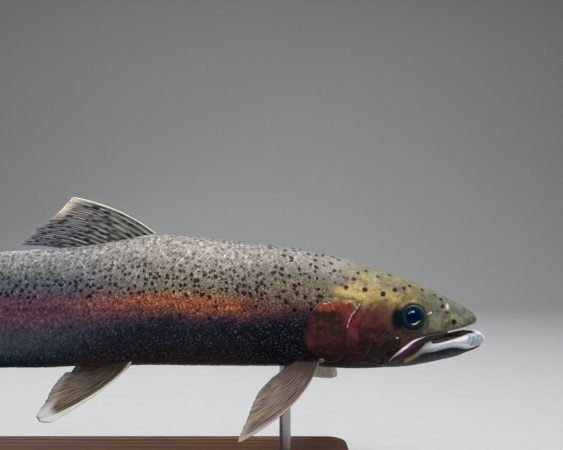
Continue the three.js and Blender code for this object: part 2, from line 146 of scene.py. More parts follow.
def fade(value, low, high):  # 0 below low, 1 above high, smooth between
    t = np.clip((value - low) / (high - low), 0, 1)
    return t * t * (3 - 2 * t)


def bell(value, width):  # 1 at zero, falling off smoothly to both sides
    return np.exp(-(value / width) ** 2)


def mound(at, height, middle, reach):  # the same round the middle of an oval
    return bell(np.hypot((at - middle[0]) / reach[0], (height - middle[1]) / reach[1]), 1)


def roundCurve(points, steps, closed=False):  # a smooth curve through the points
    p = np.asarray(points, float)
    if closed:
        p = np.vstack([p[-1], p, p[:2]])
    else:
        p = np.vstack([2 * p[0] - p[1], p, 2 * p[-1] - p[-2]])
    out = []
    for a, b, c, d in zip(p[:-3], p[1:-2], p[2:-1], p[3:]):
        for t in np.arange(steps) / steps:
            out.append(0.5 * (2 * b + (c - a) * t + (2 * a - 5 * b + 4 * c - d) * t ** 2
                              + (3 * b - a - 3 * c + d) * t ** 3))
    if not closed:
        out.append(p[-2])
    return np.array(out)


def distanceTo(line, at, height, closed=False):  # how far points lie from a side-view line
    ends = np.roll(line, -1, axis=0) if closed else line[1:]
    starts = line if closed else line[:-1]
    best = np.full(at.shape, 1e9)
    for a, b in zip(starts, ends):
        run = b - a
        t = np.clip(((at - a[0]) * run[0] + (height - a[1]) * run[1]) / max(run @ run, 1e-9), 0, 1)
        best = np.minimum(best, np.hypot(at - a[0] - run[0] * t, height - a[1] - run[1] * t))
    return best


def insideOf(line, at, height):  # which points a closed side-view line holds
    held = np.zeros(at.shape, bool)
    for a, b in zip(line, np.roll(line, -1, axis=0)):
        crosses = (a[1] > height) != (b[1] > height)
        where = (b[0] - a[0]) * (height - a[1]) / np.where(b[1] == a[1], 1e-9, b[1] - a[1]) + a[0]
        held ^= crosses & (at < where)
    return held


# lines of the head's side, as station and height
headLines = {
    "mouthRoof": [(-0.8, -0.4), (0.2, -2.6), (2.2, -3.6), (8, -4.6), (18, -6.6), (26, -7.8), (36, -11)],
    "mouthFloor": [(33, -15.4), (27, -14.6), (21, -13.5), (16, -12.2), (8.8, -10.2), (2.2, -8.3),
                   (-3, -8.2)],
    "lipEdge": [(-6.4, -14.6), (-3.5, -17.2), (1.3, -18.5), (6.9, -19.8), (11, -19.5), (15, -18.6),
                (20.4, -18.4), (27.3, -19.6), (30.7, -20.6), (38, -21.6), (44, -23.4)],
    "lipFold": [(9, -15.6), (15, -15.4), (22, -16), (30, -18), (38, -20)],
    "cornerFold": [(50.4, -27.4), (46.5, -25), (43.1, -22.3), (41.4, -20.4)],
    "plateEdge": [(83.1, 12.6), (85.5, 8.8), (88.9, 4.8), (90.9, 0.1), (91.6, -3.5)],
    "plateFork": [(90.2, 14), (87.6, 13.2), (85.8, 9.6)],
}
headLines = {name: roundCurve(points, 5) for name, points in headLines.items()}
headLines["gillCover"] = roundCurve([
    (83, 12.9), (95, 16.6), (106.6, 15), (114, 8.6), (119.2, -2.6), (120, -13.2), (114.6, -22.2),
    (107.4, -27.4), (98, -27.6), (93.4, -22.6), (94.4, -13.2), (92.2, -3.2), (87, 5.6)], 6, closed=True)
eyeForm = {"at": 46.6, "height": 2.8, "radius": 8.5, "flatness": 0.72, "proud": 2.4}


def headEdge(height):  # the station where the head ends and the scales begin
    return curveThrough([-36, -29, -25, -20, -13, -2.6, 8.6, 15, 20, 32, 50],
                        [112, 110, 113.5, 118, 121, 120.4, 115, 108.6, 104, 100, 98], height)


# small helpers for pieces
def pickOut(*pieces):  # selects them, the first as the active one
    bpy.ops.object.select_all(action="DESELECT")
    for piece in pieces:
        piece.select_set(True)
    bpy.context.view_layer.objects.active = pieces[0]


def newPiece(name, add, **settings):  # from one of Blender's own shapes
    bpy.ops.object.select_all(action="DESELECT")
    add(**settings)
    piece = bpy.context.object
    piece.name = piece.data.name = name
    return piece


def addObject(name, data):  # an object for a mesh, a lamp or a camera
    added = bpy.data.objects.new(name, data)
    bpy.context.scene.collection.objects.link(added)
    return added


def pointsOf(piece):
    flat = np.empty(len(piece.data.vertices) * 3)
    piece.data.vertices.foreach_get("co", flat)
    return flat.reshape(-1, 3)


def setPoints(piece, points):
    piece.data.vertices.foreach_set("co", np.ascontiguousarray(points, float).ravel())
    piece.data.update()


def surfaceGrid(name, columns, rows, shape):  # a grid whose points shape(u, v) puts in place
    piece = newPiece(name, bpy.ops.mesh.primitive_grid_add, size=2,
                     x_subdivisions=columns, y_subdivisions=rows)
    flat = pointsOf(piece)
    setPoints(piece, shape((flat[:, 0] + 1) / 2, (flat[:, 1] + 1) / 2))
    return piece


def stepOf(share, count):  # the nearest of count steps along a grid's side
    return np.clip(np.round(share * (count - 1)).astype(int), 0, count - 1)


def inEdit(piece, *steps):  # runs mesh operators on the whole of a piece
    pickOut(piece)
    bpy.ops.object.mode_set(mode="EDIT")
    bpy.ops.mesh.select_all(action="SELECT")
    for step in steps:
        step()
    bpy.ops.object.mode_set(mode="OBJECT")


def turnOutward():
    bpy.ops.mesh.normals_make_consistent(inside=False)


def weld(piece, distance=0.00001):
    inEdit(piece, lambda: bpy.ops.mesh.remove_doubles(threshold=distance), turnOutward)


def faceOutward(piece):  # recalculating can turn a thin sheet inside out, and its volume is then negative
    shell = bmesh.new()
    shell.from_mesh(piece.data)
    volume = shell.calc_volume(signed=True)
    shell.free()
    if volume < 0:
        inEdit(piece, bpy.ops.mesh.flip_normals)


def applyModifier(piece, modifier):
    bpy.context.view_layer.objects.active = piece
    bpy.ops.object.modifier_apply(modifier=modifier.name)


def applyBoolean(piece, other, operation):
    modifier = piece.modifiers.new("cut", "BOOLEAN")
    modifier.object, modifier.operation, modifier.solver = other, operation, "MANIFOLD"
    modifier.material_mode = "TRANSFER"
    applyModifier(piece, modifier)
    bpy.data.objects.remove(other)


def prism(name, outline, halfWidth):  # a side-view outline pushed through the fish
    piece = newPiece(name, bpy.ops.mesh.primitive_circle_add, vertices=len(outline), fill_type="NGON")
    setPoints(piece, place(outline[:, 0], -halfWidth, outline[:, 1]))
    inEdit(piece, lambda: bpy.ops.mesh.extrude_region_move(
        TRANSFORM_OT_translate={"value": (0, 2 * halfWidth * mm, 0)}),
        lambda: bpy.ops.mesh.select_all(action="SELECT"), turnOutward)
    return piece


def turnedPiece(name, profile, around, put):  # profile is radius and length; put() places the points
    profile = np.asarray(profile, float)

    def shape(u, v):
        radius, length = profile[stepOf(v, len(profile))].T
        turn = u * 2 * math.pi
        return put(radius * np.cos(turn), radius * np.sin(turn), length)
    piece = surfaceGrid(name, around, len(profile) - 1, shape)
    weld(piece, 0.000002)
    return piece


def smoothShade(piece):
    piece.data.polygons.foreach_set("use_smooth", np.ones(len(piece.data.polygons), bool))
    piece.data.update()


def smoothUpTo(piece, degrees):  # keeps the edges that are sharper than this
    pickOut(piece)
    bpy.ops.object.shade_smooth_by_angle(angle=math.radians(degrees))


def setValues(piece, **named):  # under each name, a number for each point of the mesh
    for name, values in named.items():
        attribute = piece.data.attributes.new(name, "FLOAT", "POINT")
        attribute.data.foreach_set("value", np.ascontiguousarray(values, np.float32))


def readValue(piece, name):
    values = np.empty(len(piece.data.vertices), np.float32)
    piece.data.attributes[name].data.foreach_get("value", values)
    return values.astype(float)


def laneOf(at, height):  # 0 along the belly, 1 along the back
    top, bottom = sectionAt("body", np.clip(at, 40, skinEnd))[:2]
    return np.clip((height - bottom) / (top - bottom), 0, 1)


# skin: one piece over head, jaw, gill covers, trunk and tail
skinValues = {
    "around": 216,                               # points round the body
    "finest": 0.3, "fine": 0.72, "coarse": 2.4,  # spacing at the snout's tip, on the head and behind it
    "tipEnd": 3, "reliefEnd": (121, 126),        # where the finest spacing ends and the head's relief fades
    "jawAround": 120, "jawSpacing": 0.75,
    "hollows": [(18, -11.4, (17, 10.2, 8)), (20, -6.5, (18, 8.5, 5.5))],  # the mouth's: station, height, size
    "mouthFrom": -20, "mouthReach": 60,          # how far forward and to each side the mouth is cut
    "gillRise": 0.9, "gillCrease": 0.8, "lipRounding": 0.9,
    "nostril": (25.2, 9.2), "nostrilFlap": (22, 9), "nostrilLow": (22.9, 5.3),
}


def lipRise(at, height):  # how far a point lies over the lower lip's lower edge
    edge = headLines["lipEdge"]
    return height - np.interp(at, edge[:, 0], edge[:, 1])


def headRelief(at, side, height):  # how far the skin stands out, in millimetres
    v = skinValues
    gill = headLines["gillCover"]
    inside = insideOf(gill, at, height)
    away = distanceTo(gill, at, height, closed=True)
    signed = np.where(inside, away, -away)
    rear = fade(at, 92, 104)
    rise = v["gillRise"] * fade(signed, -0.4, 1.6) * (0.25 + 0.75 * rear)
    crease = -v["gillCrease"] * bell(signed + 1.0, 0.9) * (0.35 + 0.65 * rear)
    relief = (rise + crease) * fade(np.abs(side), 4, 9)
    # the bony ridge in front of the gill cover, and the seams between its plates
    ridgeLine = roundCurve([(80, 14), (79, 5), (84, -6), (84, -16), (78, -24), (68, -29)], 5)
    near = distanceTo(ridgeLine, at, height)
    relief += -0.38 * bell(near, 0.9) + 0.28 * bell(near - 2.4, 1.6)
    seam = distanceTo(roundCurve([(94.5, -15), (104, -19), (115, -20)], 4), at, height)
    relief += np.where(inside, -0.3 * bell(seam, 0.7), 0)
    # cheek plates below and behind the eye
    for line in ([(57, 6), (68, 9), (79, 10)], [(57, -2), (68, -6), (78, -10)],
                 [(52, -8), (60, -16), (66, -22)]):
        relief += -0.16 * bell(distanceTo(roundCurve(line, 4), at, height), 0.8)
    # the eye's rim and socket
    eye = np.hypot(at - eyeForm["at"], height - eyeForm["height"])
    flank = fade(np.abs(side), 6, 10)
    relief += flank * (0.55 * bell(eye - 9.7, 0.9) - 0.35 * bell(eye - 12, 1.3))
    relief += flank * -4.2 * (1 - fade(eye, 7.4, 8.9))
    # nostril: a pit behind a small raised flap, and a second hole below
    for name, depth, reach in (("nostril", -1.5, (1.2, 1.5)), ("nostrilFlap", 0.8, (0.8, 1.8)),
                               ("nostrilLow", -0.9, (0.9, 0.9))):
        relief += depth * mound(at, height, v[name], reach)
    # lips roll in towards the mouth
    for name in ("mouthRoof", "mouthFloor"):
        near = distanceTo(headLines[name], at, height)
        relief -= v["lipRounding"] * bell(near, 0.9) * (1 - fade(at, 26, 36))
    # the lower lip is a thick fold, creased along its middle, with a groove under it
    edge = lipRise(at, height)
    crease = distanceTo(headLines["lipFold"], at, height)
    underMouth = height < np.interp(at, [8, 26, 36], [-7.4, -11.2, -13.2])
    onLip = fade(-height, 8.4, 9.8) * (1 - fade(at, 34, 46)) * underMouth
    relief += onLip * (0.75 * fade(edge, 0, 1.3) - 0.45 * bell(edge + 0.7, 0.7) - 0.35 * bell(crease, 0.7))
    # folds along the throat
    folds = fade(-height, 25, 30) * fade(at, 60, 74) * (1 - fade(at, 104, 112))
    relief += 0.22 * folds * np.sin(np.abs(side) * 2.6 + at * 0.16)
    # shallow hollows give the skull its bones
    relief += -0.35 * mound(at, height, (33, 9), (9, 4.5))
    relief += 0.3 * mound(at, height, (52, 15), (10, 3.0))
    return relief


def skinPoints(part, at, angle):
    side, height = ringPoint(part, at, angle)
    normal = ringNormal(part, at, angle)
    out = headRelief(at, side, height) * (1 - fade(at, *skinValues["reliefEnd"]))
    if part == "body":
        out -= form["coatDepth"] * fade(at - headEdge(height), 0.5, 4)
        out *= fade(at, -0.4, 1.5)
    grown = np.stack([at, side, height], -1) + normal * out[:, None]
    return place(grown[:, 0], grown[:, 1], grown[:, 2])


def closedSkin(name, part, spans, around):  # a span is from, to and spacing; the ends close to a point
    stations = [[spans[0][0]] * 2] + [spread(*span)[1:] for span in spans] + [[spans[-1][1]]]
    stations = np.concatenate(stations)

    def shape(u, v):
        k = stepOf(u, len(stations))
        at, angle = stations[k], v * 2 * math.pi
        points = skinPoints(part, at, angle)
        widest = sectionAt(part, at)[3]
        tip = (k == 0) | (k == len(stations) - 1)
        points[tip] = place(at, 0 * at, widest)[tip]
        return points
    piece = surfaceGrid(name, len(stations) - 1, around, shape)
    weld(piece)
    return piece


def spread(low, high, spacing):
    return np.linspace(low, high, max(2, int(round((high - low) / spacing)) + 1))


def buildSkin():
    v = skinValues
    jawStations = form["jaw"][:, 0]
    stops = (form["body"][0, 0], v["tipEnd"], v["reliefEnd"][1], skinEnd)
    spans = list(zip(stops, stops[1:], (v["finest"], v["fine"], v["coarse"])))
    skin = closedSkin("skin", "body", spans, v["around"])
    jaw = closedSkin("jawSkin", "jaw", [(jawStations[0], jawStations[-1], v["jawSpacing"])], v["jawAround"])
    lining = bpy.data.materials.new("mouthLining")
    skinPaint = bpy.data.materials.new("troutSkin")
    for piece in (skin, jaw):
        piece.data.materials.append(skinPaint)
    applyBoolean(skin, jaw, "UNION")
    outline = np.vstack([[(v["mouthFrom"], -0.4)], headLines["mouthRoof"], headLines["mouthFloor"],
                         [(v["mouthFrom"], -8.3)]])
    cutters = [prism("mouthGap", outline, v["mouthReach"])]
    for at, height, size in v["hollows"]:
        hollow = newPiece("hollow", bpy.ops.mesh.primitive_uv_sphere_add,
                          segments=48, ring_count=24, radius=1)
        setPoints(hollow, pointsOf(hollow) * np.array(size) * mm + place(at, 0, height))
        cutters.append(hollow)
    for cutter in cutters:
        cutter.data.materials.append(lining)
        applyBoolean(skin, cutter, "DIFFERENCE")
    return skin


skin = buildSkin()
print("skin:", len(skin.data.polygons), "faces", [m.name for m in skin.data.materials])


# numbers that the markings read from the mesh
def girthTable():  # arc length from the back's ridge, for stations and angles
    stations = np.linspace(0, skinEnd, 162)
    angles = np.linspace(-math.pi / 2, math.pi / 2, 121)
    lengths = []
    for at in stations:
        side, height = ringPoint("body", np.full(len(angles), at), angles)
        steps = np.hypot(np.diff(side), np.diff(height))
        fromBelly = np.concatenate([[0], np.cumsum(steps)])
        lengths.append(fromBelly[-1] - fromBelly)
    return stations, angles, np.array(lengths)


girthStations, girthAngles, girthLengths = girthTable()


def inTable(table, at, column):  # bilinear, with a row of the table for each station
    row = np.clip(at / girthStations[-1] * (len(girthStations) - 1), 0, len(girthStations) - 1.001)
    i, j = row.astype(int), column.astype(int)
    s, t = row - i, column - j
    first = table[i, j] * (1 - t) + table[i, j + 1] * t
    second = table[i + 1, j] * (1 - t) + table[i + 1, j + 1] * t
    return first * (1 - s) + second * s


def girthAt(at, angle):  # millimetres from the back's ridge down one side
    column = (angle + math.pi / 2) / math.pi * (len(girthAngles) - 1)
    return inTable(girthLengths, at, np.clip(column, 0, len(girthAngles) - 1.001))


def angleOf(at, side, height):  # round the section, from -90 degrees at the belly to 90 at the back
    top, bottom, half, widest, back, belly = sectionAt("body", at)
    upper = height >= widest
    power = np.where(upper, back, belly) / 2
    rise = (np.abs(height - widest) / np.where(upper, top - widest, widest - bottom)) ** power
    return np.arctan2(np.where(upper, rise, -rise), (np.abs(side) / half) ** power)


def setMarkingValues(piece):
    at, side, height = sidewise(pointsOf(piece))
    at = np.clip(at, 0, skinEnd - 1)
    girth = girthAt(at, angleOf(at, side, height))
    setValues(piece, lane=laneOf(at, height), along=at,
              girth=np.where(side < 0, girth, girth + form["leftGirth"]))
    return at, side, height


# short ways to build materials; the easel holds the one that is being painted
easel = {}


def shade(*colour):  # screen values to the linear ones that a node takes
    return tuple(((c / 255 + 0.055) / 1.055) ** 2.4 if c > 10 else c / 255 / 12.92 for c in colour) + (1,)


class Wire:  # what comes out of a node, to be added, multiplied and so on
    def __init__(self, socket):
        self.socket = socket

    def __add__(self, other):
        return number("ADD", self, other)

    def __mul__(self, other):
        return number("MULTIPLY", self, other)

    def __sub__(self, other):
        return number("SUBTRACT", self, other)

    def __rsub__(self, other):
        return number("SUBTRACT", other, self)

    def __truediv__(self, other):
        return number("DIVIDE", self, other)


def fill(socket, value):
    if isinstance(value, Wire):
        easel["tree"].links.new(value.socket, socket)
    else:
        socket.default_value = value


def startPaint(name, **sockets):
    material = bpy.data.materials.get(name) or bpy.data.materials.new(name)
    material.use_nodes = True
    tree = material.node_tree
    easel.update(material=material, tree=tree, shader=tree.nodes["Principled BSDF"])
    for key, value in sockets.items():
        easel["shader"].inputs[key.replace("_", " ")].default_value = value
    return material


def finishPaint(colour, bump=None, roughness=None):  # bump is height, distance and strength
    ends = {"Base Color": colour}
    if bump:
        ends["Normal"] = addNode("ShaderNodeBump", dict(zip(("Height", "Distance", "Strength"), bump)))
    if roughness:
        ends["Roughness"] = roughness
    for key, value in ends.items():
        fill(easel["shader"].inputs[key], value)
    return easel["material"]


def addNode(kind, sockets=None, output=0, **settings):  # the wire from one output, or a list from several
    made = easel["tree"].nodes.new(kind)
    for name, value in settings.items():
        setattr(made, name, value)
    for name, value in (sockets or {}).items():
        fill(made.inputs[name], value)
    if isinstance(output, tuple):
        return [Wire(made.outputs[name]) for name in output]
    return Wire(made.outputs[output])


def number(operation, first, second=0.0):
    return addNode("ShaderNodeMath", {0: first, 1: second}, operation=operation)


def span(across, up):  # the length of a slanting line
    return number("SQRT", across * across + up * up)


def smooth(value, low, high, bottom=0.0, top=1.0):
    sockets = {"Value": value, "From Min": low, "From Max": high, "To Min": bottom, "To Max": top}
    return addNode("ShaderNodeMapRange", sockets, interpolation_type="SMOOTHSTEP")


def fromMesh(name):
    return addNode("ShaderNodeAttribute", output="Fac", attribute_name=name)


def ramp(value, stops):  # a stop is a colour in screen values, or a number
    made = addNode("ShaderNodeValToRGB", {"Fac": value})
    line = made.socket.node.color_ramp
    while len(line.elements) < len(stops):
        line.elements.new(0.5)
    for element, (position, colour) in zip(line.elements, stops.items()):
        element.position = position
        element.color = shade(*colour) if isinstance(colour, tuple) else (colour,) * 3 + (1,)
    return made


def blend(share, first, second, kind="MIX"):  # three numbers are screen values, four are linear
    made = addNode("ShaderNodeMix", {0: share}, 2, data_type="RGBA", blend_type=kind)
    for slot, value in ((6, first), (7, second)):
        if isinstance(value, tuple) and len(value) == 3:
            value = shade(*value)
        fill(made.socket.node.inputs[slot], value)
    return made


def layer(colour, *coats):  # lays a tint over the colour for each share and tint
    for share, tint in coats:
        colour = blend(share, colour, tint)
    return colour


def temper(colour, *steps):  # multiplies the colour by a ramp of each value
    for value, stops in steps:
        colour = blend(1.0, colour, ramp(value, stops), "MULTIPLY")
    return colour


def grain(where, scale, detail=2, output="Fac"):
    return addNode("ShaderNodeTexNoise", {"Vector": where, "Scale": scale, "Detail": detail}, output)


def speckle(where, scale, detail, low, high, top=1.0):  # grain, cut off into patches
    return smooth(grain(where, scale, detail), low, high, 0, top)


def dots(where, scale, strewn, sizes, soft, chance):  # round spots in cells whose lot is under the chance
    sockets = {"Vector": where, "Scale": scale, "Randomness": strewn}
    distance, lots = addNode("ShaderNodeTexVoronoi", sockets, ("Distance", "Color"), voronoi_dimensions="2D")
    red, green = addNode("ShaderNodeSeparateColor", {0: lots}, ("Red", "Green"))
    return smooth(distance - smooth(green, 0, 1, *sizes), soft, -soft) * number("LESS_THAN", red, chance)


def flatPlace(x, y):
    return addNode("ShaderNodeCombineXYZ", {"X": x, "Y": y})


def stretched(where, scale, **more):
    return addNode("ShaderNodeMapping", {"Vector": where, "Scale": scale, **more})


def objectPlace():  # object coordinates, and station and height in millimetres
    where = addNode("ShaderNodeTexCoord", output="Object")
    x, z = addNode("ShaderNodeSeparateXYZ", {0: where}, ("X", "Z"))
    return where, form["snoutX"] - x * 1000, z * 1000 - form["snoutZ"]


def patch(station, height, centre, reach, softness=0.8):  # a soft oval
    away = span((station - centre[0]) / reach[0], (height - centre[1]) / reach[1])
    return smooth(away, 1 + softness / 2, 1 - softness / 2)


# the trout's colours; skin and scales share them
markings = {
    # lanes run from the belly (0) to the back (1): the near-black lower flank is partly the trout's dark
    # colouring and partly painted shade, and the pale stretch under the back's ridge is partly painted light
    # from above
    "fore": {0: (44, 32, 34), 0.12: (20, 16, 26), 0.22: (2, 8, 26), 0.3: (1, 8, 28), 0.38: (6, 14, 32),
             0.46: (54, 42, 52), 0.54: (104, 74, 68), 0.6: (116, 98, 88), 0.75: (120, 112, 102),
             0.88: (150, 140, 132), 1: (122, 122, 118)},
    "middle": {0: (70, 50, 42), 0.13: (38, 32, 42), 0.3: (26, 31, 50), 0.36: (44, 40, 56),
               0.41: (88, 58, 66), 0.455: (150, 90, 76), 0.495: (196, 114, 76), 0.54: (184, 108, 72),
               0.58: (164, 122, 90), 0.63: (142, 132, 114), 0.68: (150, 142, 128), 0.75: (158, 149, 138),
               0.88: (168, 158, 151), 1: (128, 126, 122)},
    "rear": {0: (8, 20, 36), 0.1: (32, 52, 68), 0.17: (66, 78, 92), 0.27: (92, 92, 104), 0.34: (92, 76, 96),
             0.4: (100, 74, 96), 0.5: (110, 72, 98), 0.6: (102, 74, 98), 0.66: (100, 92, 110),
             0.75: (102, 108, 114), 0.88: (140, 140, 138), 1: (138, 140, 140)},
    "foreTo": (138, 182),
    "rearFrom": (200, 300), "rearSooner": 8, "rearLater": 32,  # the back turns to the tail's colours first
    "spotLayers": ((4.7, 1), (3.9, 0.4), (5.5, 1)), "spotColour": (17, 20, 36),
    "spotChance": {0: 0, 0.36: 0.03, 0.5: 0.05, 0.56: 0.3, 0.6: 0.95, 0.76: 0.95, 0.85: 0.75, 1: 0.6},
    "tailChance": {0: 0, 0.55: 0.02, 0.61: 0.2, 0.65: 0.85, 1: 0.85},
    # spots show less towards the back: a painted wash of light from above
    "spotDepth": {0.3: 0.8, 0.58: 0.95, 0.72: 0.88, 0.82: 0.62, 0.9: 0.42, 1: 0.6},
    # the finer mottle; its brightest grains are painted sparkle, highlights off the scales
    "mottle": {0.32: 0.5, 0.5: 0.93, 0.62: 1.35, 0.72: 2.2},
    "coarse": {0.34: 0.42, 0.5: 0.93, 0.6: 1.4, 0.7: 2.2},
}


def paintMarkings():
    m = markings
    lane, along, girth = fromMesh("lane"), fromMesh("along"), fromMesh("girth")
    surface = flatPlace(along, girth)
    ragged = (grain(surface, 0.06, 4) - 0.5) * 0.13
    level = lane + ragged
    sooner = smooth(level, 0.56, 0.7, 0.0, m["rearSooner"]) - smooth(level, 0.42, 0.26, 0.0, m["rearLater"])
    rear = smooth(along + sooner, *m["rearFrom"])
    fore = smooth(along + ragged * 200, *m["foreTo"])
    colour = blend(fore, ramp(level, m["fore"]), ramp(level, m["middle"]))
    colour = blend(rear, colour, ramp(level, m["rear"]))
    # cloudy lights and darks, then a finer mottle, partly tone and partly painted sparkle in its brightest
    # grains
    colour = blend(speckle(surface, 0.035, 3, 0.35, 0.68) * 0.3, colour, (0.5, 0.5, 0.5, 1), "OVERLAY")
    colour = temper(colour, (grain(surface, 1.4, 3), m["mottle"]))
    # a coarser grain in the band and under it
    under = smooth(level, 0.64, 0.54) * smooth(rear, 0.2, 1.0, 1.0, 0.3)
    colour = blend(under, colour, ramp(grain(surface, 0.62, 3), m["coarse"]), "MULTIPLY")
    hue = grain(surface, 0.42, 4)
    band = smooth(level, 0.36, 0.44) * smooth(level, 0.64, 0.58) * smooth(along, 140, 190)
    # pale flecks over the dark lower flank
    fleck = speckle(surface, 0.55, 5, 0.48, 0.66, smooth(level, 0.6, 0.42, 0.1, 0.9))
    fleck = fleck * smooth(grain(surface, 0.14, 3), 0.38, 0.6, 0.3, 1.0)
    fleckTint = blend(speckle(surface, 0.3, 3, 0.46, 0.56), (52, 70, 86), (98, 92, 74))
    # olive lights and darks along the band's upper edge, golden behind the head
    beside = smooth(level, 0.53, 0.59) * smooth(level, 0.78, 0.68) * smooth(rear, 1.0, 0.2, 0.35, 1.0)
    patchy = grain(surface, 0.95, 4)
    near = smooth(along, 160, 130)
    gilt = smooth(level, 0.5, 0.58) * smooth(level, 0.84, 0.7) * near
    gilt = gilt * speckle(surface, 0.35, 4, 0.45, 0.62, 0.32)
    colour = layer(
        colour, (band * smooth(hue, 0.52, 0.64, 0, 0.5), (168, 92, 62)),
        (band * smooth(hue, 0.48, 0.36, 0, 0.6), (58, 30, 44)),
        (fleck, blend(rear, fleckTint, (80, 100, 118))),
        (beside * smooth(patchy, 0.55, 0.68, 0, 0.75), (206, 200, 160)),
        (beside * smooth(patchy, 0.46, 0.34, 0, 0.75), (40, 44, 46)), (gilt, (176, 150, 96)))
    # round to ragged black spots, fewer and larger behind the head
    shift = addNode("ShaderNodeVectorMath", {0: grain(surface, 0.35, 2, "Color"), 1: (0.5, 0.5, 0.5)},
                    operation="SUBTRACT")
    warped = addNode("ShaderNodeVectorMath", {0: shift, 1: (3.0, 3.0, 0), 2: surface},
                     operation="MULTIPLY_ADD")
    chance = blend(rear, ramp(level, m["spotChance"]), ramp(level, m["tailChance"]))
    spot = 0.0
    for size, share in m["spotLayers"]:
        here = near if size > 5 else 1.0 - near
        spot = number("MAXIMUM", spot, dots(warped, 1 / size, 0.78, (0.19, 0.3), 0.07, chance * share * here))
    # the spots' depth by lane paints the wash of light over the back
    depth = blend(near, ramp(lane, m["spotDepth"]), (0.92, 0.92, 0.92, 1))
    return blend(spot * depth, colour, m["spotColour"])


# the maxilla: a long domed plate over the corner of the mouth, on each side
maxillaValues = {
    "along": 60, "across": 40, "standOff": 0.7, "bulge": 0.5, "rimThick": 0.15, "midThick": 0.75,
    "top": [(22, -7.2), (31, -8.4), (39.8, -10.4), (46, -12.4), (51, -15.8), (56, -19.8), (60.2, -23.8),
            (62.8, -27.2)],
    "low": [(22, -8.6), (28, -11.2), (34.6, -13.4), (40, -17.2), (45.2, -22), (52.8, -26), (59.4, -28.6),
            (62.8, -27.6)],
}


def pillowGrid(name, columns, rows, middle, thick):  # a closed body, thick() to each side of middle()
    shares = {}

    def shape(a, b):
        u, v = np.where(b < 0.5, 2 * b, 2 - 2 * b), a
        shares["rayAcross"], shares["rayAlong"] = u, v
        step = 0.004
        points = middle(u, v)
        across = middle(np.minimum(u + step, 1), v) - middle(np.maximum(u - step, 0), v)
        up = middle(u, np.minimum(v + step, 1)) - middle(u, np.maximum(v - step, 0))
        normal = np.cross(across, up)
        normal /= np.linalg.norm(normal, axis=-1, keepdims=True) + 1e-12
        points = points + normal * (thick(u, v) * np.where(b < 0.5, 1, -1))[:, None]
        return place(points[:, 0], points[:, 1], points[:, 2])
    piece = surfaceGrid(name, columns, rows, shape)
    setValues(piece, **shares)
    weld(piece)
    faceOutward(piece)
    return piece


def alongLine(line, share):  # a point at a share of an open line's length
    line = np.asarray(line, float)
    lengths = np.concatenate([[0], np.cumsum(np.linalg.norm(np.diff(line, axis=0), axis=1))])
    return np.stack([np.interp(share * lengths[-1], lengths, line[:, k]) for k in range(line.shape[1])], -1)


def buildMaxilla(hand):
    v = maxillaValues
    top, low = roundCurve(v["top"], 6), roundCurve(v["low"], 6)

    def middle(across, along):
        upper, lower = alongLine(top, along), alongLine(low, along)
        flat = upper * (1 - across[:, None]) + lower * across[:, None]
        side = np.maximum(sideAt("body", *flat.T), sideAt("jaw", *flat.T) - 0.6)
        reach = v["standOff"] * fade(along, 0.0, 0.16) + v["bulge"] * np.sin(np.pi * across)
        reach = reach - 1.0 * (1 - fade(along, 0, 0.1))
        return np.stack([flat[:, 0], hand * (side + reach), flat[:, 1]], -1)

    def thick(across, along):
        rim = np.sqrt(np.clip(1 - (2 * across - 1) ** 2, 0, 1))
        ends = np.clip(np.minimum(along, 1 - along) * 14, 0, 1) ** 0.5
        return (v["rimThick"] + v["midThick"] * rim) * np.clip(rim * 3, 0, 1) * ends

    piece = pillowGrid("maxilla", v["along"], v["across"] * 2, middle, thick)
    at, side, height = sidewise(pointsOf(piece))
    # a pale band along the plate's top edge, strongest behind station 45: a painted highlight
    edge = distanceTo(top, at, height)
    rim = np.interp(at, [24, 38, 44, 50, 56, 61], [0.25, 0.5, 1.1, 1.8, 1.5, 0.8])
    shine = np.interp(at, [38, 45, 60, 63], [0.05, 1, 1, 0.5])
    setValues(piece, plate=np.ones(len(at)), plateRim=(1 - fade(edge / rim, 0.7, 1.2)) * shine,
              plateFlush=fade(at, 38, 44) * (1 - fade(at, 56, 60)) * (1 - fade(edge, 2.5, 5.5)))
    piece.data.materials.append(bpy.data.materials["troutSkin"])
    return piece


headSpots = [  # station, height and radius
    (91.9, 29.3, 1.5), (86.5, 28.6, 1.7), (92.2, 23.5, 1.9), (95.0, 25.0, 1.3), (79.3, 21.7, 2.0),
    (67.0, 18.6, 2.1), (58.5, 21.0, 1.9), (51.9, 22.1, 1.6), (47.3, 23.3, 1.6), (38.9, 20.5, 1.5),
    (77.6, 33.6, 1.4), (83.4, 32.4, 1.4), (60.8, 30.6, 1.5), (25.8, 14.2, 1.6), (18.3, -0.8, 2.0),
    (30.0, 17.0, 1.2), (97.5, 30.5, 1.6), (103, 26.5, 1.5), (100, 34, 1.5), (107, 31, 1.6), (70, 30, 1.1),
]


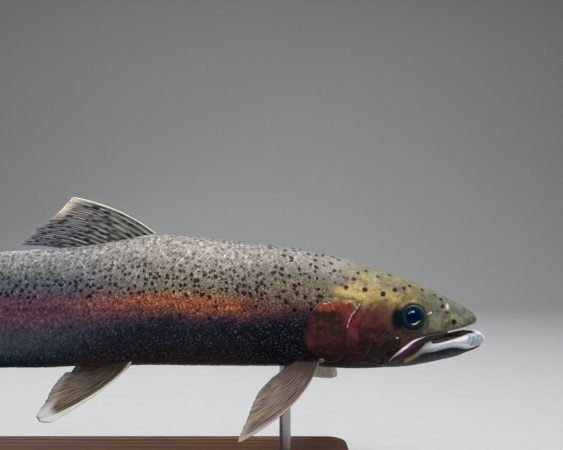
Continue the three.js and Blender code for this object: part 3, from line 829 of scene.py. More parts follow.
def finishSkin():
    maxillae = [buildMaxilla(-1), buildMaxilla(1)]
    pickOut(skin, *maxillae)
    bpy.ops.object.join()
    at, side, height = setMarkingValues(skin)
    dark = np.zeros(len(at))
    for spotAt, spotHeight, radius in headSpots:
        spotSide = sideAt("body", np.array([spotAt]), np.array([spotHeight]))[0]
        away = np.sqrt((at - spotAt) ** 2 + (height - spotHeight) ** 2 + (np.abs(side) - spotSide) ** 2)
        dark = np.maximum(dark, 1 - fade(away / radius, 0.72, 1.15))

    def near(line, width):
        return bell(distanceTo(headLines[line], at, height), width)
    jawSide = (height < np.interp(at, [-3, 8, 26, 36, 46], [-4.5, -7.4, -11.2, -13.2, -17])).astype(float)
    before = 1 - fade(at, 38, 46)
    rise = lipRise(at, height)
    # the nostrils' pits, painted dark as painted shade inside the holes
    holes = np.maximum(mound(at, height, skinValues["nostril"], (1.4, 1.7)),
                       mound(at, height, skinValues["nostrilLow"], (1.3, 1.1)))
    gill = headLines["gillCover"]
    eye = np.hypot(at - eyeForm["at"], height - eyeForm["height"])
    setValues(
        skin, headSpots=dark,
        lip=fade(rise, -0.4, 0.5) * jawSide * before,
        # lipUnder and lipCrease carry painted shade on the white lip
        lipUnder=(1 - fade(rise, 0.9, 2.6)) * fade(at, 5, 12),
        underLip=bell(rise + 1.5, 1.5) * fade(at, 3, 10) * before * jawSide,
        lipCrease=near("lipFold", 0.95), cornerFold=near("cornerFold", 1.3),
        upperLip=near("mouthRoof", 1.2) * (1 - fade(at, 22, 30)),
        nostrilDark=holes,
        nostrilPale=mound(at, height, skinValues["nostrilFlap"], (1.15, 1.8)) * (1 - holes),
        paleLine=near("plateEdge", 0.42) + 0.9 * near("plateFork", 0.4),
        gill=insideOf(gill, at, height).astype(float),
        seam=bell(distanceTo(gill, at, height, closed=True) - 0.6, 1.0),
        eyeRim=bell(eye - 9.2, 1.2),
        jawShare=fade(-height, 8, 11) * (1 - fade(at, 20, 60) * fade(height, -30, -12)))
    smoothShade(skin)


finishSkin()
print("skin finished:", len(skin.data.polygons), "faces")

headColours = [  # middle and reach as station and height, colour, share
    ((40, 12), (50, 18), (122, 116, 88), 0.9), ((20, 6), (26, 12), (98, 112, 102), 0.85),
    ((8, 0), (14, 8), (82, 106, 102), 0.85), ((86, 19), (22, 7), (216, 192, 122), 0.92),
    ((66, 16), (20, 6), (186, 158, 98), 0.75), ((92, 15.5), (13, 4.5), (218, 192, 124), 0.85),
    ((80, 27), (12, 5), (214, 190, 118), 0.6), ((60, 34), (60, 14), (120, 118, 96), 0.6),
    ((62, 10), (18, 4), (120, 92, 54), 0.6), ((24, -1), (20, 6), (146, 142, 116), 0.75),
    ((58, -6), (22, 11), (50, 34, 30), 0.85), ((80, -4), (22, 17), (104, 44, 46), 0.92),
    ((72, -12), (22, 10), (38, 13, 28), 0.94), ((72, -26), (40, 11), (10, 7, 14), 0.97),
    ((104, -4), (20, 19), (78, 32, 38), 0.97), ((105, 0), (11, 10), (42, 32, 30), 0.85),
    ((103, 11.5), (14, 3.4), (166, 74, 50), 0.85), ((89, 4), (5, 12), (152, 56, 64), 0.7),
    ((104, -22), (20, 9), (48, 10, 24), 0.85),
]
headFlecksAndGlints = [  # small pale marks, as middle and reach
    # the first two, in front of the eye, are painted highlights
    ((34.4, 5.7), (0.9, 0.6)), ((36.2, 4.9), (1.3, 0.3)), ((108.6, -27), (2.2, 1.7)),
    ((57.6, -10.8), (0.9, 0.5)), ((106.4, 12.8), (1.5, 0.3)), ((103.6, 13.6), (0.9, 0.3)),
    ((99.6, 30.4), (1.5, 0.6)),
]


def paintSkin():
    startPaint("troutSkin", Roughness=0.42, Specular_IOR_Level=0.14)
    body = paintMarkings()
    where, station, height = objectPlace()
    cloud = (grain(where, 110, 5) - 0.5) * 15
    wavy = station + cloud, height + cloud
    head = layer((112, 108, 86), *((patch(*wavy, centre, reach) * share, tint)
                                   for centre, reach, tint, share in headColours))
    fine = grain(where, 900, 3)
    head = blend(0.5, head, ramp(fine, {0.3: 0.3, 0.7: 0.72}), "OVERLAY")
    # darker and golden mottling; the snout's side and the brow are browner, the throat's side nearly black,
    # partly its own colouring and partly painted shade
    upperRear = smooth(height, 4, 14) * smooth(station, 44, 78, 0.2, 0.55) * smooth(height, 37, 25, 0.1, 1.0)
    lowerRear = smooth(height, 12, 4) * smooth(station, 52, 70, 0.0, 0.5)
    red = smooth(station, 60, 74) * smooth(height, 17, 12)
    nose = smooth(station, 46, 34) * smooth(height, 13, 6)
    brow = smooth(station, 76, 60) * speckle(where, 130, 4, 0.44, 0.6, 0.5) * smooth(height, 32, 20)
    head = layer(
        head, (speckle(where, 260, 5, 0.5, 0.72, 0.5), (60, 50, 40)),
        (speckle(where, 340, 4, 0.52, 0.7, upperRear), (206, 182, 116)),
        (speckle(where, 420, 4, 0.5, 0.68, lowerRear), (110, 56, 50)),
        (speckle(where, 150, 4, 0.46, 0.66, 0.55) * red, (30, 20, 24)),
        (speckle(where, 230, 4, 0.52, 0.68, 0.45) * red, (132, 50, 46)),
        (speckle(where, 210, 3, 0.5, 0.66, 0.75) * nose, (74, 66, 48)),
        (speckle(where, 180, 3, 0.55, 0.68, 0.5) * nose, (166, 152, 100)),
        (brow, (96, 82, 52)), (smooth(height, -8, -24, 0, 0.4), (26, 12, 20)))
    head = temper(head, (grain(where, 1500, 2), {0.3: 0.68, 0.5: 0.97, 0.64: 1.25, 0.74: 1.7}))
    # the flecks and the painted highlights in front of the eye, the spots and the dark places, with painted
    # shade in the nostril pits; then the jaw
    jaw = ramp(smooth(station, -6, 50), {0: (16, 36, 44), 0.4: (12, 30, 36), 0.8: (20, 26, 30),
                                         1: (38, 30, 30)})
    jaw = blend(speckle(where, 330, 4, 0.48, 0.66, smooth(station, 8, 34, 0.2, 0.6)), jaw, (104, 76, 72))
    head = layer(
        head, *((patch(station, height, *fleck) * 0.9, (226, 228, 228)) for fleck in headFlecksAndGlints),
        (fromMesh("headSpots"), (26, 25, 32)), (fromMesh("nostrilDark"), (18, 16, 18)),
        (fromMesh("nostrilPale"), (212, 208, 190)), (fromMesh("eyeRim") * 0.5, (40, 54, 62)),
        (patch(station, height, (56.8, 2), (5.2, 7.6), 0.7) * 0.98, (0, 8, 22)),
        (fromMesh("seam") * 0.62, (24, 8, 14)),
        (fromMesh("jawShare") * smooth(station, 56, 40), jaw), (fromMesh("underLip") * 0.75, (2, 30, 50)),
        (fromMesh("cornerFold") * 0.9, (164, 156, 96)))
    # the white lower lip, bluish at the jaw's tip inside a pale rim
    streaks = grain(stretched(where, (1.6, 1, 0.7), Rotation=(0, 0.7, 0)), 480, 3)
    teal = blend(smooth(streaks, 0.3, 0.7), (86, 128, 158), (208, 222, 232))
    white = layer(
        blend(smooth(streaks, 0.3, 0.5), (236, 242, 248), (255, 255, 255)),
        # painted shade: blue-grey in the lip's crease and along its lower strip
        (smooth(station, 29, 44), (150, 160, 154)), (fromMesh("lipCrease") * 0.45, (104, 124, 146)),
        (fromMesh("lipUnder") * smooth(streaks, 0.25, 0.6, 0.85, 0.5), (84, 112, 160)),
        (patch(station, height, (2.4, -13.6), (6.4, 4.6), 0.35) * 0.9, teal))
    broken = smooth(fromMesh("paleLine") * smooth(grain(where, 420, 3), 0.3, 0.62, 0.35, 1.0), 0.12, 0.75)
    # the maxilla, with a painted highlight along its rim
    rim = blend(smooth(station, 53, 60), (244, 244, 238), (176, 170, 124))
    bone = layer(blend(smooth(station, 30, 46), (48, 50, 48), (44, 32, 30)),
                 (fromMesh("plateFlush"), (96, 26, 84)), (fromMesh("plateRim"), rim))
    head = layer(head, (fromMesh("lip") * 0.95, white), (fromMesh("upperLip") * 0.5, (150, 142, 120)),
                 (broken * 0.8, (226, 214, 206)), (fromMesh("plate"), bone))
    # the head's colours give way to the body's behind the gill cover
    higher = number("MAXIMUM", height - 15.0) * 0.75
    behind = smooth(wavy[0] + higher, 94, 117) * (1.0 - fromMesh("gill"))
    pores = grain(where, 700, 3) + grain(where, 2200, 2) * 0.5
    finishPaint(blend(behind, head, body), (pores, 0.00012, 0.6), smooth(fine, 0.3, 0.7, 0.34, 0.52))


def paintLining():
    startPaint("mouthLining", Roughness=0.3, Coat_Weight=0.4, Coat_Roughness=0.15)
    where, station, height = objectPlace()
    wet = grain(where, 220, 3)
    colour = ramp(smooth(station, -4, 30), {0: (214, 212, 200), 0.25: (196, 176, 146), 0.6: (150, 92, 84),
                                            1: (60, 28, 36)})
    palate = smooth(height, -11, -8.5, 0, 0.85)  # and the snout's rim
    colour = layer(colour, (palate, (92, 78, 62)), (smooth(wet, 0.35, 0.7, 0, 0.6), (96, 70, 70)))
    finishPaint(colour, (wet, 0.0004, 0.5))


paintSkin()
paintLining()
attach(skin, "root")
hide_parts("head", "lower_jaw", "gill_cover_right", "gill_cover_left",
            "maxilla_right", "maxilla_left", "trunk", "tail")


# scales: one modelled scale, repeated in rows along the lateral line
coatValues = {
    # station, then the spacing along and across the rows there, in millimetres
    "spacing": np.array([(96, 1.75, 1.1), (125, 2.1, 1.3), (175, 2.85, 1.7), (350, 2.85, 1.7),
                         (484, 2.3, 1.4)]),
    # station and height of the lateral line
    "lateral": np.array([(96, 15), (130, 12), (200, 10), (300, 9), (480, 6)]),
    "longer": 2.15, "wider": 2.4,  # a scale's size over the spacing
    "rootDepth": 0.25, "tipRise": 0.42, "dome": 0.17,
    "turn": 2.2, "tilt": 0.7, "uneven": 0.035, "patch": 0.003,
    "underHead": 1.5, "clear": 0.3,   # how far the coat starts under the head's edge, and off ridge and belly
    "last": 474, "tailCurve": 0.012,  # where it ends on the tail, and how much that end curves
}


def modelScale():  # a rounded blade with its root at 0 and its tip at 1 along x, one wide
    scale = newPiece("oneScale", bpy.ops.mesh.primitive_circle_add,
                     vertices=12, radius=0.5, fill_type="NGON")
    bpy.ops.object.mode_set(mode="EDIT")
    bpy.ops.mesh.select_all(action="SELECT")
    bpy.ops.mesh.duplicate()
    bpy.ops.mesh.flip_normals()
    bpy.ops.mesh.select_all(action="INVERT")
    bpy.ops.mesh.inset(thickness=0.17, depth=0)
    bpy.ops.transform.translate(value=(0, 0, 0.8))
    bpy.ops.mesh.poke(offset=0.2)
    bpy.ops.mesh.select_all(action="SELECT")
    bpy.ops.mesh.remove_doubles(threshold=0.0001)
    bpy.ops.mesh.quads_convert_to_tris()
    turnOutward()
    bpy.ops.object.mode_set(mode="OBJECT")
    points = pointsOf(scale)
    points[:, 0] += 0.5
    points[:, 1] *= 0.8 + 0.2 * fade(points[:, 0], 0.0, 0.5)
    corners = np.array([face.vertices[:] for face in scale.data.polygons])
    bpy.data.objects.remove(scale)
    return points, corners


shareStops = np.linspace(0, 1, 161)
shareAngles = np.array([np.interp(shareStops * line[0], line[::-1], girthAngles[::-1])
                        for line in girthLengths])


def girthTotal(at):
    return np.interp(at, girthStations, girthLengths[:, 0])


def surfaceAt(at, girth):  # angle round the section, and the point, in station, side and height
    column = np.clip(girth / girthTotal(at), 0, 1) * (len(shareStops) - 1.001)
    angle = inTable(shareAngles, at, column)
    side, height = ringPoint("body", at, angle)
    return angle, np.stack([at, side, height], -1)


def layRoots():  # one side's, as station, distance from the ridge, row from the lateral line, two spacings
    v = coatValues
    at, found, column = v["spacing"][0, 0], [], 0
    while at < v["last"]:
        along, across = (float(np.interp(at, v["spacing"][:, 0], v["spacing"][:, k])) for k in (1, 2))
        height = np.array([np.interp(at, v["lateral"][:, 0], v["lateral"][:, 1])])
        spot = np.array([at])
        lateral = girthAt(spot, angleOf(spot, sideAt("body", spot, height), height))[0]
        rows = np.arange(-60, 61)
        rows = rows[rows % 2 == column % 2]
        girth = lateral - rows * across
        keep = (girth > v["clear"]) & (girth < girthTotal(at) - v["clear"])
        for row, far in zip(rows[keep], girth[keep]):
            found.append((at, far, row, along, across))
        at += along / 2
        column += 1
    found = np.array(found)
    height = surfaceAt(found[:, 0], found[:, 1])[1][:, 2]
    rounded = found[:, 0] < v["last"] - v["tailCurve"] * (height - form["body"][-1, 4]) ** 2
    return found[(found[:, 0] > headEdge(height) - v["underHead"]) & rounded]


def buildScales(name, hand, roots, blade, corners):
    v = coatValues
    at, girth, row, along, across = roots.T
    count = len(at)
    angle, root = surfaceAt(at, girth)
    down = surfaceAt(at + 1, girth)[1] - surfaceAt(at - 1, girth)[1]
    normal = ringNormal("body", at, angle)
    width = np.cross(normal, down)
    width /= np.linalg.norm(width, axis=1, keepdims=True)
    length = np.cross(width, normal)
    turn, tilt, roll = (np.radians(dice.normal(0, much, count))[:, None]
                        for much in (v["turn"], v["tilt"], v["tilt"] * 1.5))
    length, width = length + width * turn + normal * tilt, width - length * turn + normal * roll
    size = 1 + dice.normal(0, v["uneven"], count)
    reach, wide = along * v["longer"] * size, across * v["wider"] * size
    # a random value for each scale: its tone, and at the top end a painted glint
    fleck = 0.5 + (dice.uniform(0, 1, count) - 0.5) * (0.5 + 0.5 * fade(at - headEdge(root[:, 2]), 0, 20))
    x, y, z = blade.T
    lift = -form["coatDepth"] - v["rootDepth"] + (v["rootDepth"] + v["tipRise"]) * x + v["dome"] * z
    points = (root[:, None] + length[:, None] * (reach[:, None] * x)[..., None]
              + width[:, None] * (wide[:, None] * y)[..., None] + normal[:, None] * lift[None, :, None])
    lengths, sides, heights = points.reshape(-1, 3).T
    mesh = bpy.data.meshes.new(name)
    faces = (corners[None] + (np.arange(count) * len(blade))[:, None, None]).reshape(-1, 3)
    if hand > 0:
        faces = faces[:, ::-1]
    mesh.from_pydata(place(lengths, hand * sides, heights), [], faces.tolist())
    piece = addObject(name, mesh)
    setMarkingValues(piece)
    setValues(piece, fleck=np.repeat(fleck, len(blade)), tip=np.tile(x, count),
              lateral=np.repeat((row == 0).astype(float), len(blade)))
    # every scale is a small patch at its root's place on the unwrapped side
    share = np.stack([at, girth], -1)
    share = (share - share.min(0)) / (share.max(0) - share.min(0)) * 0.96 + 0.02
    patches = share[:, None] + np.stack([x - 0.5, y], -1)[None] * v["patch"]
    flat = patches.reshape(-1, 2)[faces.ravel()]
    mesh.uv_layers.new(name="OFBake").data.foreach_set("uv", flat.astype(np.float32).ravel())
    smoothUpTo(piece, 60)
    mesh.materials.append(scalePaint)
    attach(piece, "root")
    print(name + ":", count, "scales,", len(mesh.polygons), "faces")


def paintScales():
    startPaint("scaleCoat", Roughness=0.34, Specular_IOR_Level=0.07)
    fleck, tip = fromMesh("fleck"), fromMesh("tip")
    # each scale lighter or darker at random, the brightest being painted glints; along it, painted shadow of
    # the scale in front at the root, a painted highlight towards the tip and a dark edge
    colour = temper(paintMarkings(), (fleck, {0: 0.66, 0.45: 0.9, 0.8: 1.1, 0.95: 1.25, 1: 1.6}),
                    (tip, {0.5: 0.66, 0.68: 0.9, 0.85: 1.16, 0.94: 1.24, 1: 0.7}))
    colour = blend(fromMesh("lateral") * smooth(tip, 0.6, 0.75) * 0.45, colour, (40, 34, 36))
    rings = grain(objectPlace()[0], 1800, 2)
    return finishPaint(colour, (rings, 0.0001, 0.5), smooth(fleck + rings, 0.4, 1.6, 0.46, 0.24))


scalePaint = paintScales()
scaleBlade, scaleCorners = modelScale()
scaleRoots = layRoots()
isUpper = scaleRoots[:, 2] >= 0
for sideName, hand in (("right", -1), ("left", 1)):
    for level, inLevel in (("upper", isUpper), ("lower", ~isUpper)):
        name = "scales_" + level + "_" + sideName
        buildScales(name, hand, scaleRoots[inLevel], scaleBlade, scaleCorners)


# tongue
tongueValues = {
    "at": 17, "height": -15.6, "size": (10, 4.6, 2.2), "groove": 0.7, "grooveWidth": 0.22,
    "taper": 0.28, "upturn": 0.25,  # how much narrower and how much higher its tip is
}


def buildTongue():
    v = tongueValues
    piece = newPiece("tongueFlesh", bpy.ops.mesh.primitive_uv_sphere_add,
                     segments=64, ring_count=36, radius=1)
    along, side, rise = pointsOf(piece).T
    size = v["size"]
    taper = 1 - v["taper"] * np.clip(along, 0, 1) ** 2
    rise = rise - v["groove"] / size[2] * bell(side, v["grooveWidth"]) * np.clip(rise, 0, 1)
    rise = rise + v["upturn"] * np.clip(along, -1, 1) ** 2
    setPoints(piece, place(v["at"] - along * size[0], side * size[1] * taper, v["height"] + rise * size[2]))
    inEdit(piece, turnOutward)
    smoothShade(piece)
    startPaint("tongueFlesh", Roughness=0.3, Coat_Weight=0.4)
    buds = grain(objectPlace()[0], 900, 3)
    flesh = blend(buds, (176, 140, 128), (214, 190, 176))
    piece.data.materials.append(finishPaint(flesh, (buds, 0.0003, 0.6)))
    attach(piece, "root")
    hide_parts("tongue")


buildTongue()


# eyes: a globe with a sunken iris and pupil, under a clear cornea
eyeShape = {
    "corneaGap": 0.25, "corneaTurn": 1.16,  # the cornea lies this far inside the ball, to this angle
    "backFrom": 0.88, "rim": 7.45,          # the cosine where the back begins, and the iris's rim
    # radius and depth under the front, from the pupil's middle outwards
    "globe": [(0, 2.3), (2.4, 2.35), (3.6, 2.6), (4.2, 2.9), (4.5, 2.5), (5.4, 2.1), (6.6, 1.95),
              (7.3, 1.9)],
}


def eyeFront():  # how far the front of the eye stands from the middle plane
    side = sideAt("body", np.array([eyeForm["at"]]), np.array([eyeForm["height"]]))
    return float(side[0]) + eyeForm["proud"]


def roundPiece(name, profile, hand, around=72):  # turned about the eye's axis
    piece = turnedPiece(name, profile, around,
                        lambda a, b, side: place(eyeForm["at"] + a, hand * side, eyeForm["height"] + b))
    smoothShade(piece)
    return piece


def buildEyes():
    radius, flat, front = eyeForm["radius"], eyeForm["flatness"], eyeFront()
    middle = front - radius * flat
    bowl = [(max(r, 0), front - depth) for r, depth in roundCurve(eyeShape["globe"], 4)]

    def arc(radius, turns):  # radius and side of points on a flattened ball
        return [(radius * math.sin(a), middle + eyeForm["radius"] * flat * math.cos(a)) for a in turns]
    back = arc(radius, np.linspace(math.acos(eyeShape["backFrom"]), math.pi, 30))
    back = [(r, s) for r, s in back if r >= 0 and (r > eyeShape["rim"] or s < middle)]
    back[-1] = (0, back[-1][1])
    dome = arc(radius - eyeShape["corneaGap"], np.linspace(0, eyeShape["corneaTurn"], 16))
    under = [(r * 0.985, s - 0.35) for r, s in dome[::-1]]
    under[-1] = (0, under[-1][1])
    for hand, label in ((-1, "right"), (1, "left")):
        globe = roundPiece("eyeGlobe_" + label, bowl + back, hand)
        cornea = roundPiece("cornea_" + label, dome + under, hand, 56)
        globe.data.materials.append(irisPaint)
        cornea.data.materials.append(corneaPaint)
        for piece in (globe, cornea):
            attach(piece, "root")
        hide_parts("eye_" + label)


def paintIris():
    startPaint("trout_iris", Roughness=0.4, Specular_IOR_Level=0.0)
    where, station, height = objectPlace()
    across, up = station - eyeForm["at"], height - eyeForm["height"]
    away, turn = span(across, up), number("ARCTAN2", up, across)
    threads = grain(flatPlace(turn * 9, away), 1.4, 3)
    colour = ramp(away / 10, {0: (2, 12, 36), 0.5: (6, 40, 66), 0.62: (12, 54, 82), 0.73: (8, 30, 48),
                              0.775: (92, 110, 106), 0.82: (96, 106, 98), 0.86: (20, 26, 32),
                              1: (10, 15, 22)})
    # the pupil is wider than tall, with a point towards the snout
    fore = smooth(across, -1.0, -5.5)
    reach = span(across / (fore * 0.4 + 1.1), up * (fore * 0.6 + 1.0))

    def arc(turned, low, high, top=1.0):
        return smooth(number("ABSOLUTE", turned), low, high, 0, top)
    # a bright glint over the pupil and a long golden arc under it
    glint = number("MAXIMUM", arc(turn - 1.5, 0.3, 0.16), arc(turn - 1.0, 0.5, 0.2, 0.35))
    upperRing = smooth(reach, 3.3, 3.6) * smooth(reach, 4.6, 4.2)
    lowerRing = smooth(reach, 4.0, 4.35) * smooth(reach, 5.2, 4.8)
    colour = layer(
        colour, (speckle(where, 260, 3, 0.5, 0.68, 0.55), (10, 66, 88)),
        (smooth(threads, 0.5, 0.78, 0, 0.45), (64, 92, 100)), (smooth(reach, 3.75, 3.5), (1, 22, 58)),
        (upperRing * glint, (255, 252, 214)), (lowerRing * arc(turn + 2.0, 0.75, 0.5), (228, 224, 96)))
    return finishPaint(colour, (threads, 0.0002, 0.4))


irisPaint = paintIris()
corneaPaint = startPaint("clear_cornea", Roughness=0.02, Transmission_Weight=1.0, IOR=1.09,
                         Base_Color=(1, 1, 1, 1))
buildEyes()
print("eyes and tongue done")


# fins: fine sheets of ridged rays, thick at the root and thin at the margin
plainFin = {"thick": (3.0, 0.55), "sway": 0.4, "fray": 0.012, "spots": 0.0, "paleTo": 0.5, "tipFrom": 0.93}
finForms = {
    "dorsal_fin": {
        "root": [(217, 0, 54), (276, 0, 45.5)], "lead": (244, 0, 78), "trail": (296, 0, 51.5),
        "margin": [(282.4, 0.5, 84.9), (290, 1, 76), (298, 1, 68.6), (307, 0.5, 62.6), (314, 0, 56.6),
                   (318, 0, 51)],
        "rays": 12, "thick": (3.4, 0.55), "sway": 0.7, "fray": 0.014, "spots": 0.9, "spotSize": 5.4,
        "body": (110, 113, 112), "far": (128, 124, 130), "edge": (236, 224, 196), "tip": (255, 242, 210),
        "rayTint": (170, 166, 150), "paleLead": (0.004, 0.06), "tipFrom": 0.91,
    },
    "adipose_fin": {
        "root": [(372, 0, 37), (390, 0, 33.5)], "lead": (386, 0, 50), "trail": (396, 0, 38.5),
        "margin": [(399, 0, 51.5), (405, 0, 51.5), (408.5, 0, 48), (406, 0, 43), (399, 0, 38.8)],
        "rays": 3, "thick": (3.0, 0.9), "sway": 0.2, "fray": 0.0, "spots": 0.5, "spotSize": 6.0,
        "body": (112, 112, 96), "far": (104, 102, 84), "edge": (44, 46, 50), "tip": (60, 60, 58),
        "rayTint": (118, 116, 98), "paleLead": (0.06, 0.04), "paleTo": 1.3,
    },
    "caudal_fin": {
        "root": [(462, 0, 25), (462, 0, -13)], "lead": (487, 0, 38), "trail": (487, 0, -26),
        "margin": [(544, 0, 56), (546, 0, 53), (538, 0, 40), (529, 0, 24), (524, 0, 6), (529, 0, -12),
                   (538, 0, -28), (546, 0, -41), (544, 0, -44)],
        "rays": 19, "thick": (6.0, 0.55), "sway": 0.8, "fray": 0.01, "spots": 0.8, "spotSize": 5.0,
        "body": (106, 108, 112), "far": (120, 118, 112), "edge": (156, 134, 108), "tip": (150, 128, 100),
        "rayTint": (134, 130, 124), "paleLead": (0.02, 0.02), "paleTo": 1.3,
    },
    "anal_fin": {
        "root": [(346, 0, -25), (385, 0, -17.5)], "lead": (362, 0, -49), "trail": (394, 0, -25),
        "margin": [(387, 0, -72), (391, 0, -70), (393, 0, -60), (395.5, 0, -48), (401, 0, -38),
                   (404, 0, -31)],
        "rays": 11, "sway": 0.5,
        "body": (66, 60, 66), "far": (84, 72, 66), "edge": (206, 200, 190), "tip": (220, 216, 206),
        "rayTint": (96, 86, 84), "paleLead": (0.05, 0.12),
    },
    "pelvic_fin_right": {
        "root": [(237, -11, -27), (250, -6, -28.5)], "lead": (248, -18, -45), "trail": (264, -9, -36),
        "margin": [(289, -28, -66.2), (296, -29, -65), (297.6, -28.4, -60.4), (293.4, -25, -53.4),
                   (289, -19, -42.8), (283, -12, -35.5)],
        "rays": 9, "thick": (3.2, 0.55),
        "body": (54, 45, 54), "far": (108, 94, 82), "edge": (255, 250, 222), "tip": (255, 255, 255),
        "rayTint": (150, 132, 98), "paleLead": (0.05, 0.13), "tipFrom": 0.88,
    },
    "pectoral_fin_right": {
        "root": [(109, -12, -26.5), (121, -10, -24.5)], "lead": (118, -26, -56), "trail": (133, -17, -32),
        "margin": [(163, -34, -77.4), (164.8, -34, -76.6), (160.6, -32, -68), (156, -28, -57),
                   (151, -24, -47), (142, -19, -38)],
        "rays": 13, "thick": (4.0, 0.55), "fray": 0.01,
        "body": (118, 94, 82), "far": (142, 126, 114), "edge": (214, 200, 178), "tip": (206, 192, 168),
        "rayTint": (168, 150, 134), "paleLead": (0.03, 0.05), "paleTo": 0.45,
    },
    "pectoral_fin_left": {
        "root": [(109, 12, -26.5), (121, 10, -24.5)], "lead": (92, 44, -38), "trail": (133, 22, -34),
        "margin": [(90.6, 79, -57), (95, 83, -59.5), (106, 82, -58.5), (119, 70, -54), (130, 53, -47.5),
                   (137, 34, -40)],
        "rays": 13, "thick": (4.0, 0.55), "fray": 0.01,
        "body": (114, 98, 74), "far": (140, 124, 94), "edge": (200, 184, 150), "tip": (186, 168, 130),
        "rayTint": (160, 142, 112), "paleLead": (0.03, 0.05), "paleTo": 1.3,
    },
}
mirrored = {name: (np.array(finForms["pelvic_fin_right"][name]) * (1, -1, 1)).tolist()
            for name in ("root", "lead", "trail", "margin")}
finForms["pelvic_fin_left"] = {**finForms["pelvic_fin_right"], **mirrored}
finDetail = {
    "perRay": 9, "along": 64,
    "split": (0.45, 0.7), "splitIn": (0.06, 0.16),  # where the rays split along them, and in from the front
}


def buildFin(name, v):
    margin = roundCurve(v["margin"], 12)
    root, lead, trail = (np.array(v[key], float) for key in ("root", "lead", "trail"))
    frayAt = np.linspace(0, 1, v["rays"] * 4 + 1)
    frayBy = dice.uniform(-1, 0.15, len(frayAt)) * v["fray"]

    def middle(u, t):
        foot = root[0] + (root[1] - root[0]) * u[:, None]
        bow = lead + (trail - lead) * u[:, None]
        reach = (t * (1 + np.interp(u, frayAt, frayBy) * t ** 3))[:, None]
        point = foot * (1 - reach) ** 2 + bow * 2 * reach * (1 - reach) + alongLine(margin, u) * reach ** 2
        point[:, 1] += v["sway"] * np.sin(u * 9 + 1) * t ** 2
        return point

    def ridge(u, t):  # 1 on a ray, 0 between; the rays split in two past the middle
        coarse = 0.5 + 0.5 * np.cos(2 * np.pi * v["rays"] * u)
        split = 0.5 + 0.5 * np.cos(4 * np.pi * v["rays"] * u)
        share = fade(t, *finDetail["split"]) * fade(u, *finDetail["splitIn"])
        return coarse * (1 - share) + split * share

    def thick(u, t):
        base = v["thick"][0] * (1 - t) ** 1.6 + v["thick"][1]
        rim = np.sqrt(np.clip(np.minimum(u, 1 - u) * v["rays"] * 2.2, 0, 1))
        ends = np.sqrt(np.clip(np.minimum(t, (1 - t)) * 34, 0, 1))
        return base / 2 * (0.5 + 0.5 * ridge(u, t)) * rim * ends

    around = v["rays"] * finDetail["perRay"] * 2
    piece = pillowGrid(name + "_rays", finDetail["along"], around, middle, thick)
    setValues(piece, ridge=ridge(readValue(piece, "rayAcross"), readValue(piece, "rayAlong")))
    smoothShade(piece)
    piece.data.materials.append(paintFin(name, v))
    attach(piece, "root")
    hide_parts(name)


def paintFin(name, v):
    startPaint(name + "_skin", Roughness=0.42, Specular_IOR_Level=0.15)
    across, along, ridge = (fromMesh(key) for key in ("rayAcross", "rayAlong", "ridge"))
    streak = grain(flatPlace(across * (v["rays"] * 4), along * 5), 1.0, 3)
    cloud = grain(objectPlace()[0], 120, 3)
    colour = blend(smooth(along + cloud * 0.3, 0.3, 1.1), v["body"], v["far"])
    colour = blend(smooth(ridge, 0.35, 0.95) * 0.55, colour, v["rayTint"])
    # the ridge ramp darkens the grooves between the rays: painted shade
    colour = temper(colour, (streak, {0.32: 0.4, 0.5: 0.92, 0.67: 1.8}), (ridge, {0: 0.72, 0.6: 1.05}),
                    (across, {0.4: (255, 255, 255), 1: (214, 220, 243)}))
    if v["spots"]:
        cells = flatPlace(across * (v["rays"] * 1.1), along * (42 / v["spotSize"]))
        inner = smooth(number("MINIMUM", across, 1.0 - across), 0.0, 0.06)
        dot = dots(cells, 1.0, 0.8, (0.2, 0.36), 0.08, v["spots"]) * inner
        colour = blend(dot * 0.9, colour, (30, 33, 44))
    # a pale leading edge, widest at the tip, and a pale margin
    front = number("POWER", along, 3.0) * v["paleLead"][1] + v["paleLead"][0]
    lead = smooth(across - front, 0.014, -0.014)
    margin = smooth(along + streak * 0.05, v["tipFrom"], v["tipFrom"] + 0.08)
    margin = margin * smooth(across, v["paleTo"], v["paleTo"] - 0.3, 0.15, 1.0)
    colour = layer(colour, (lead * 0.85, v["edge"]), (margin * 0.8, v["tip"]))
    # the rays' own joints
    joints = addNode("ShaderNodeTexWave", {"Vector": flatPlace(along, streak * 0.01), "Scale": 9.0}, "Fac",
                     bands_direction="X")
    rise = joints * (ridge * 0.4) + streak
    return finishPaint(colour, (rise, 0.00015, 0.6), smooth(streak, 0.3, 0.7, 0.32, 0.5))


for finName, finValues in finForms.items():
    buildFin(finName, {**plainFin, **finValues})
print("fins done")


# stand: a walnut board and two brushed rods with collars
standValues = {
    "size": (300, 140, 16), "corner": 16, "cornerSteps": 14, "edge": 2.4, "edgeSteps": 5,
    "groove": [(4, 0), (0.8, -0.5), (0.9, 0), (0.8, 0.5)],  # inset and depth of each step from the rim
    "rodRadius": 4, "rodAt": (133, 345), "collarRadius": 9, "collarHeight": 3.2,
}


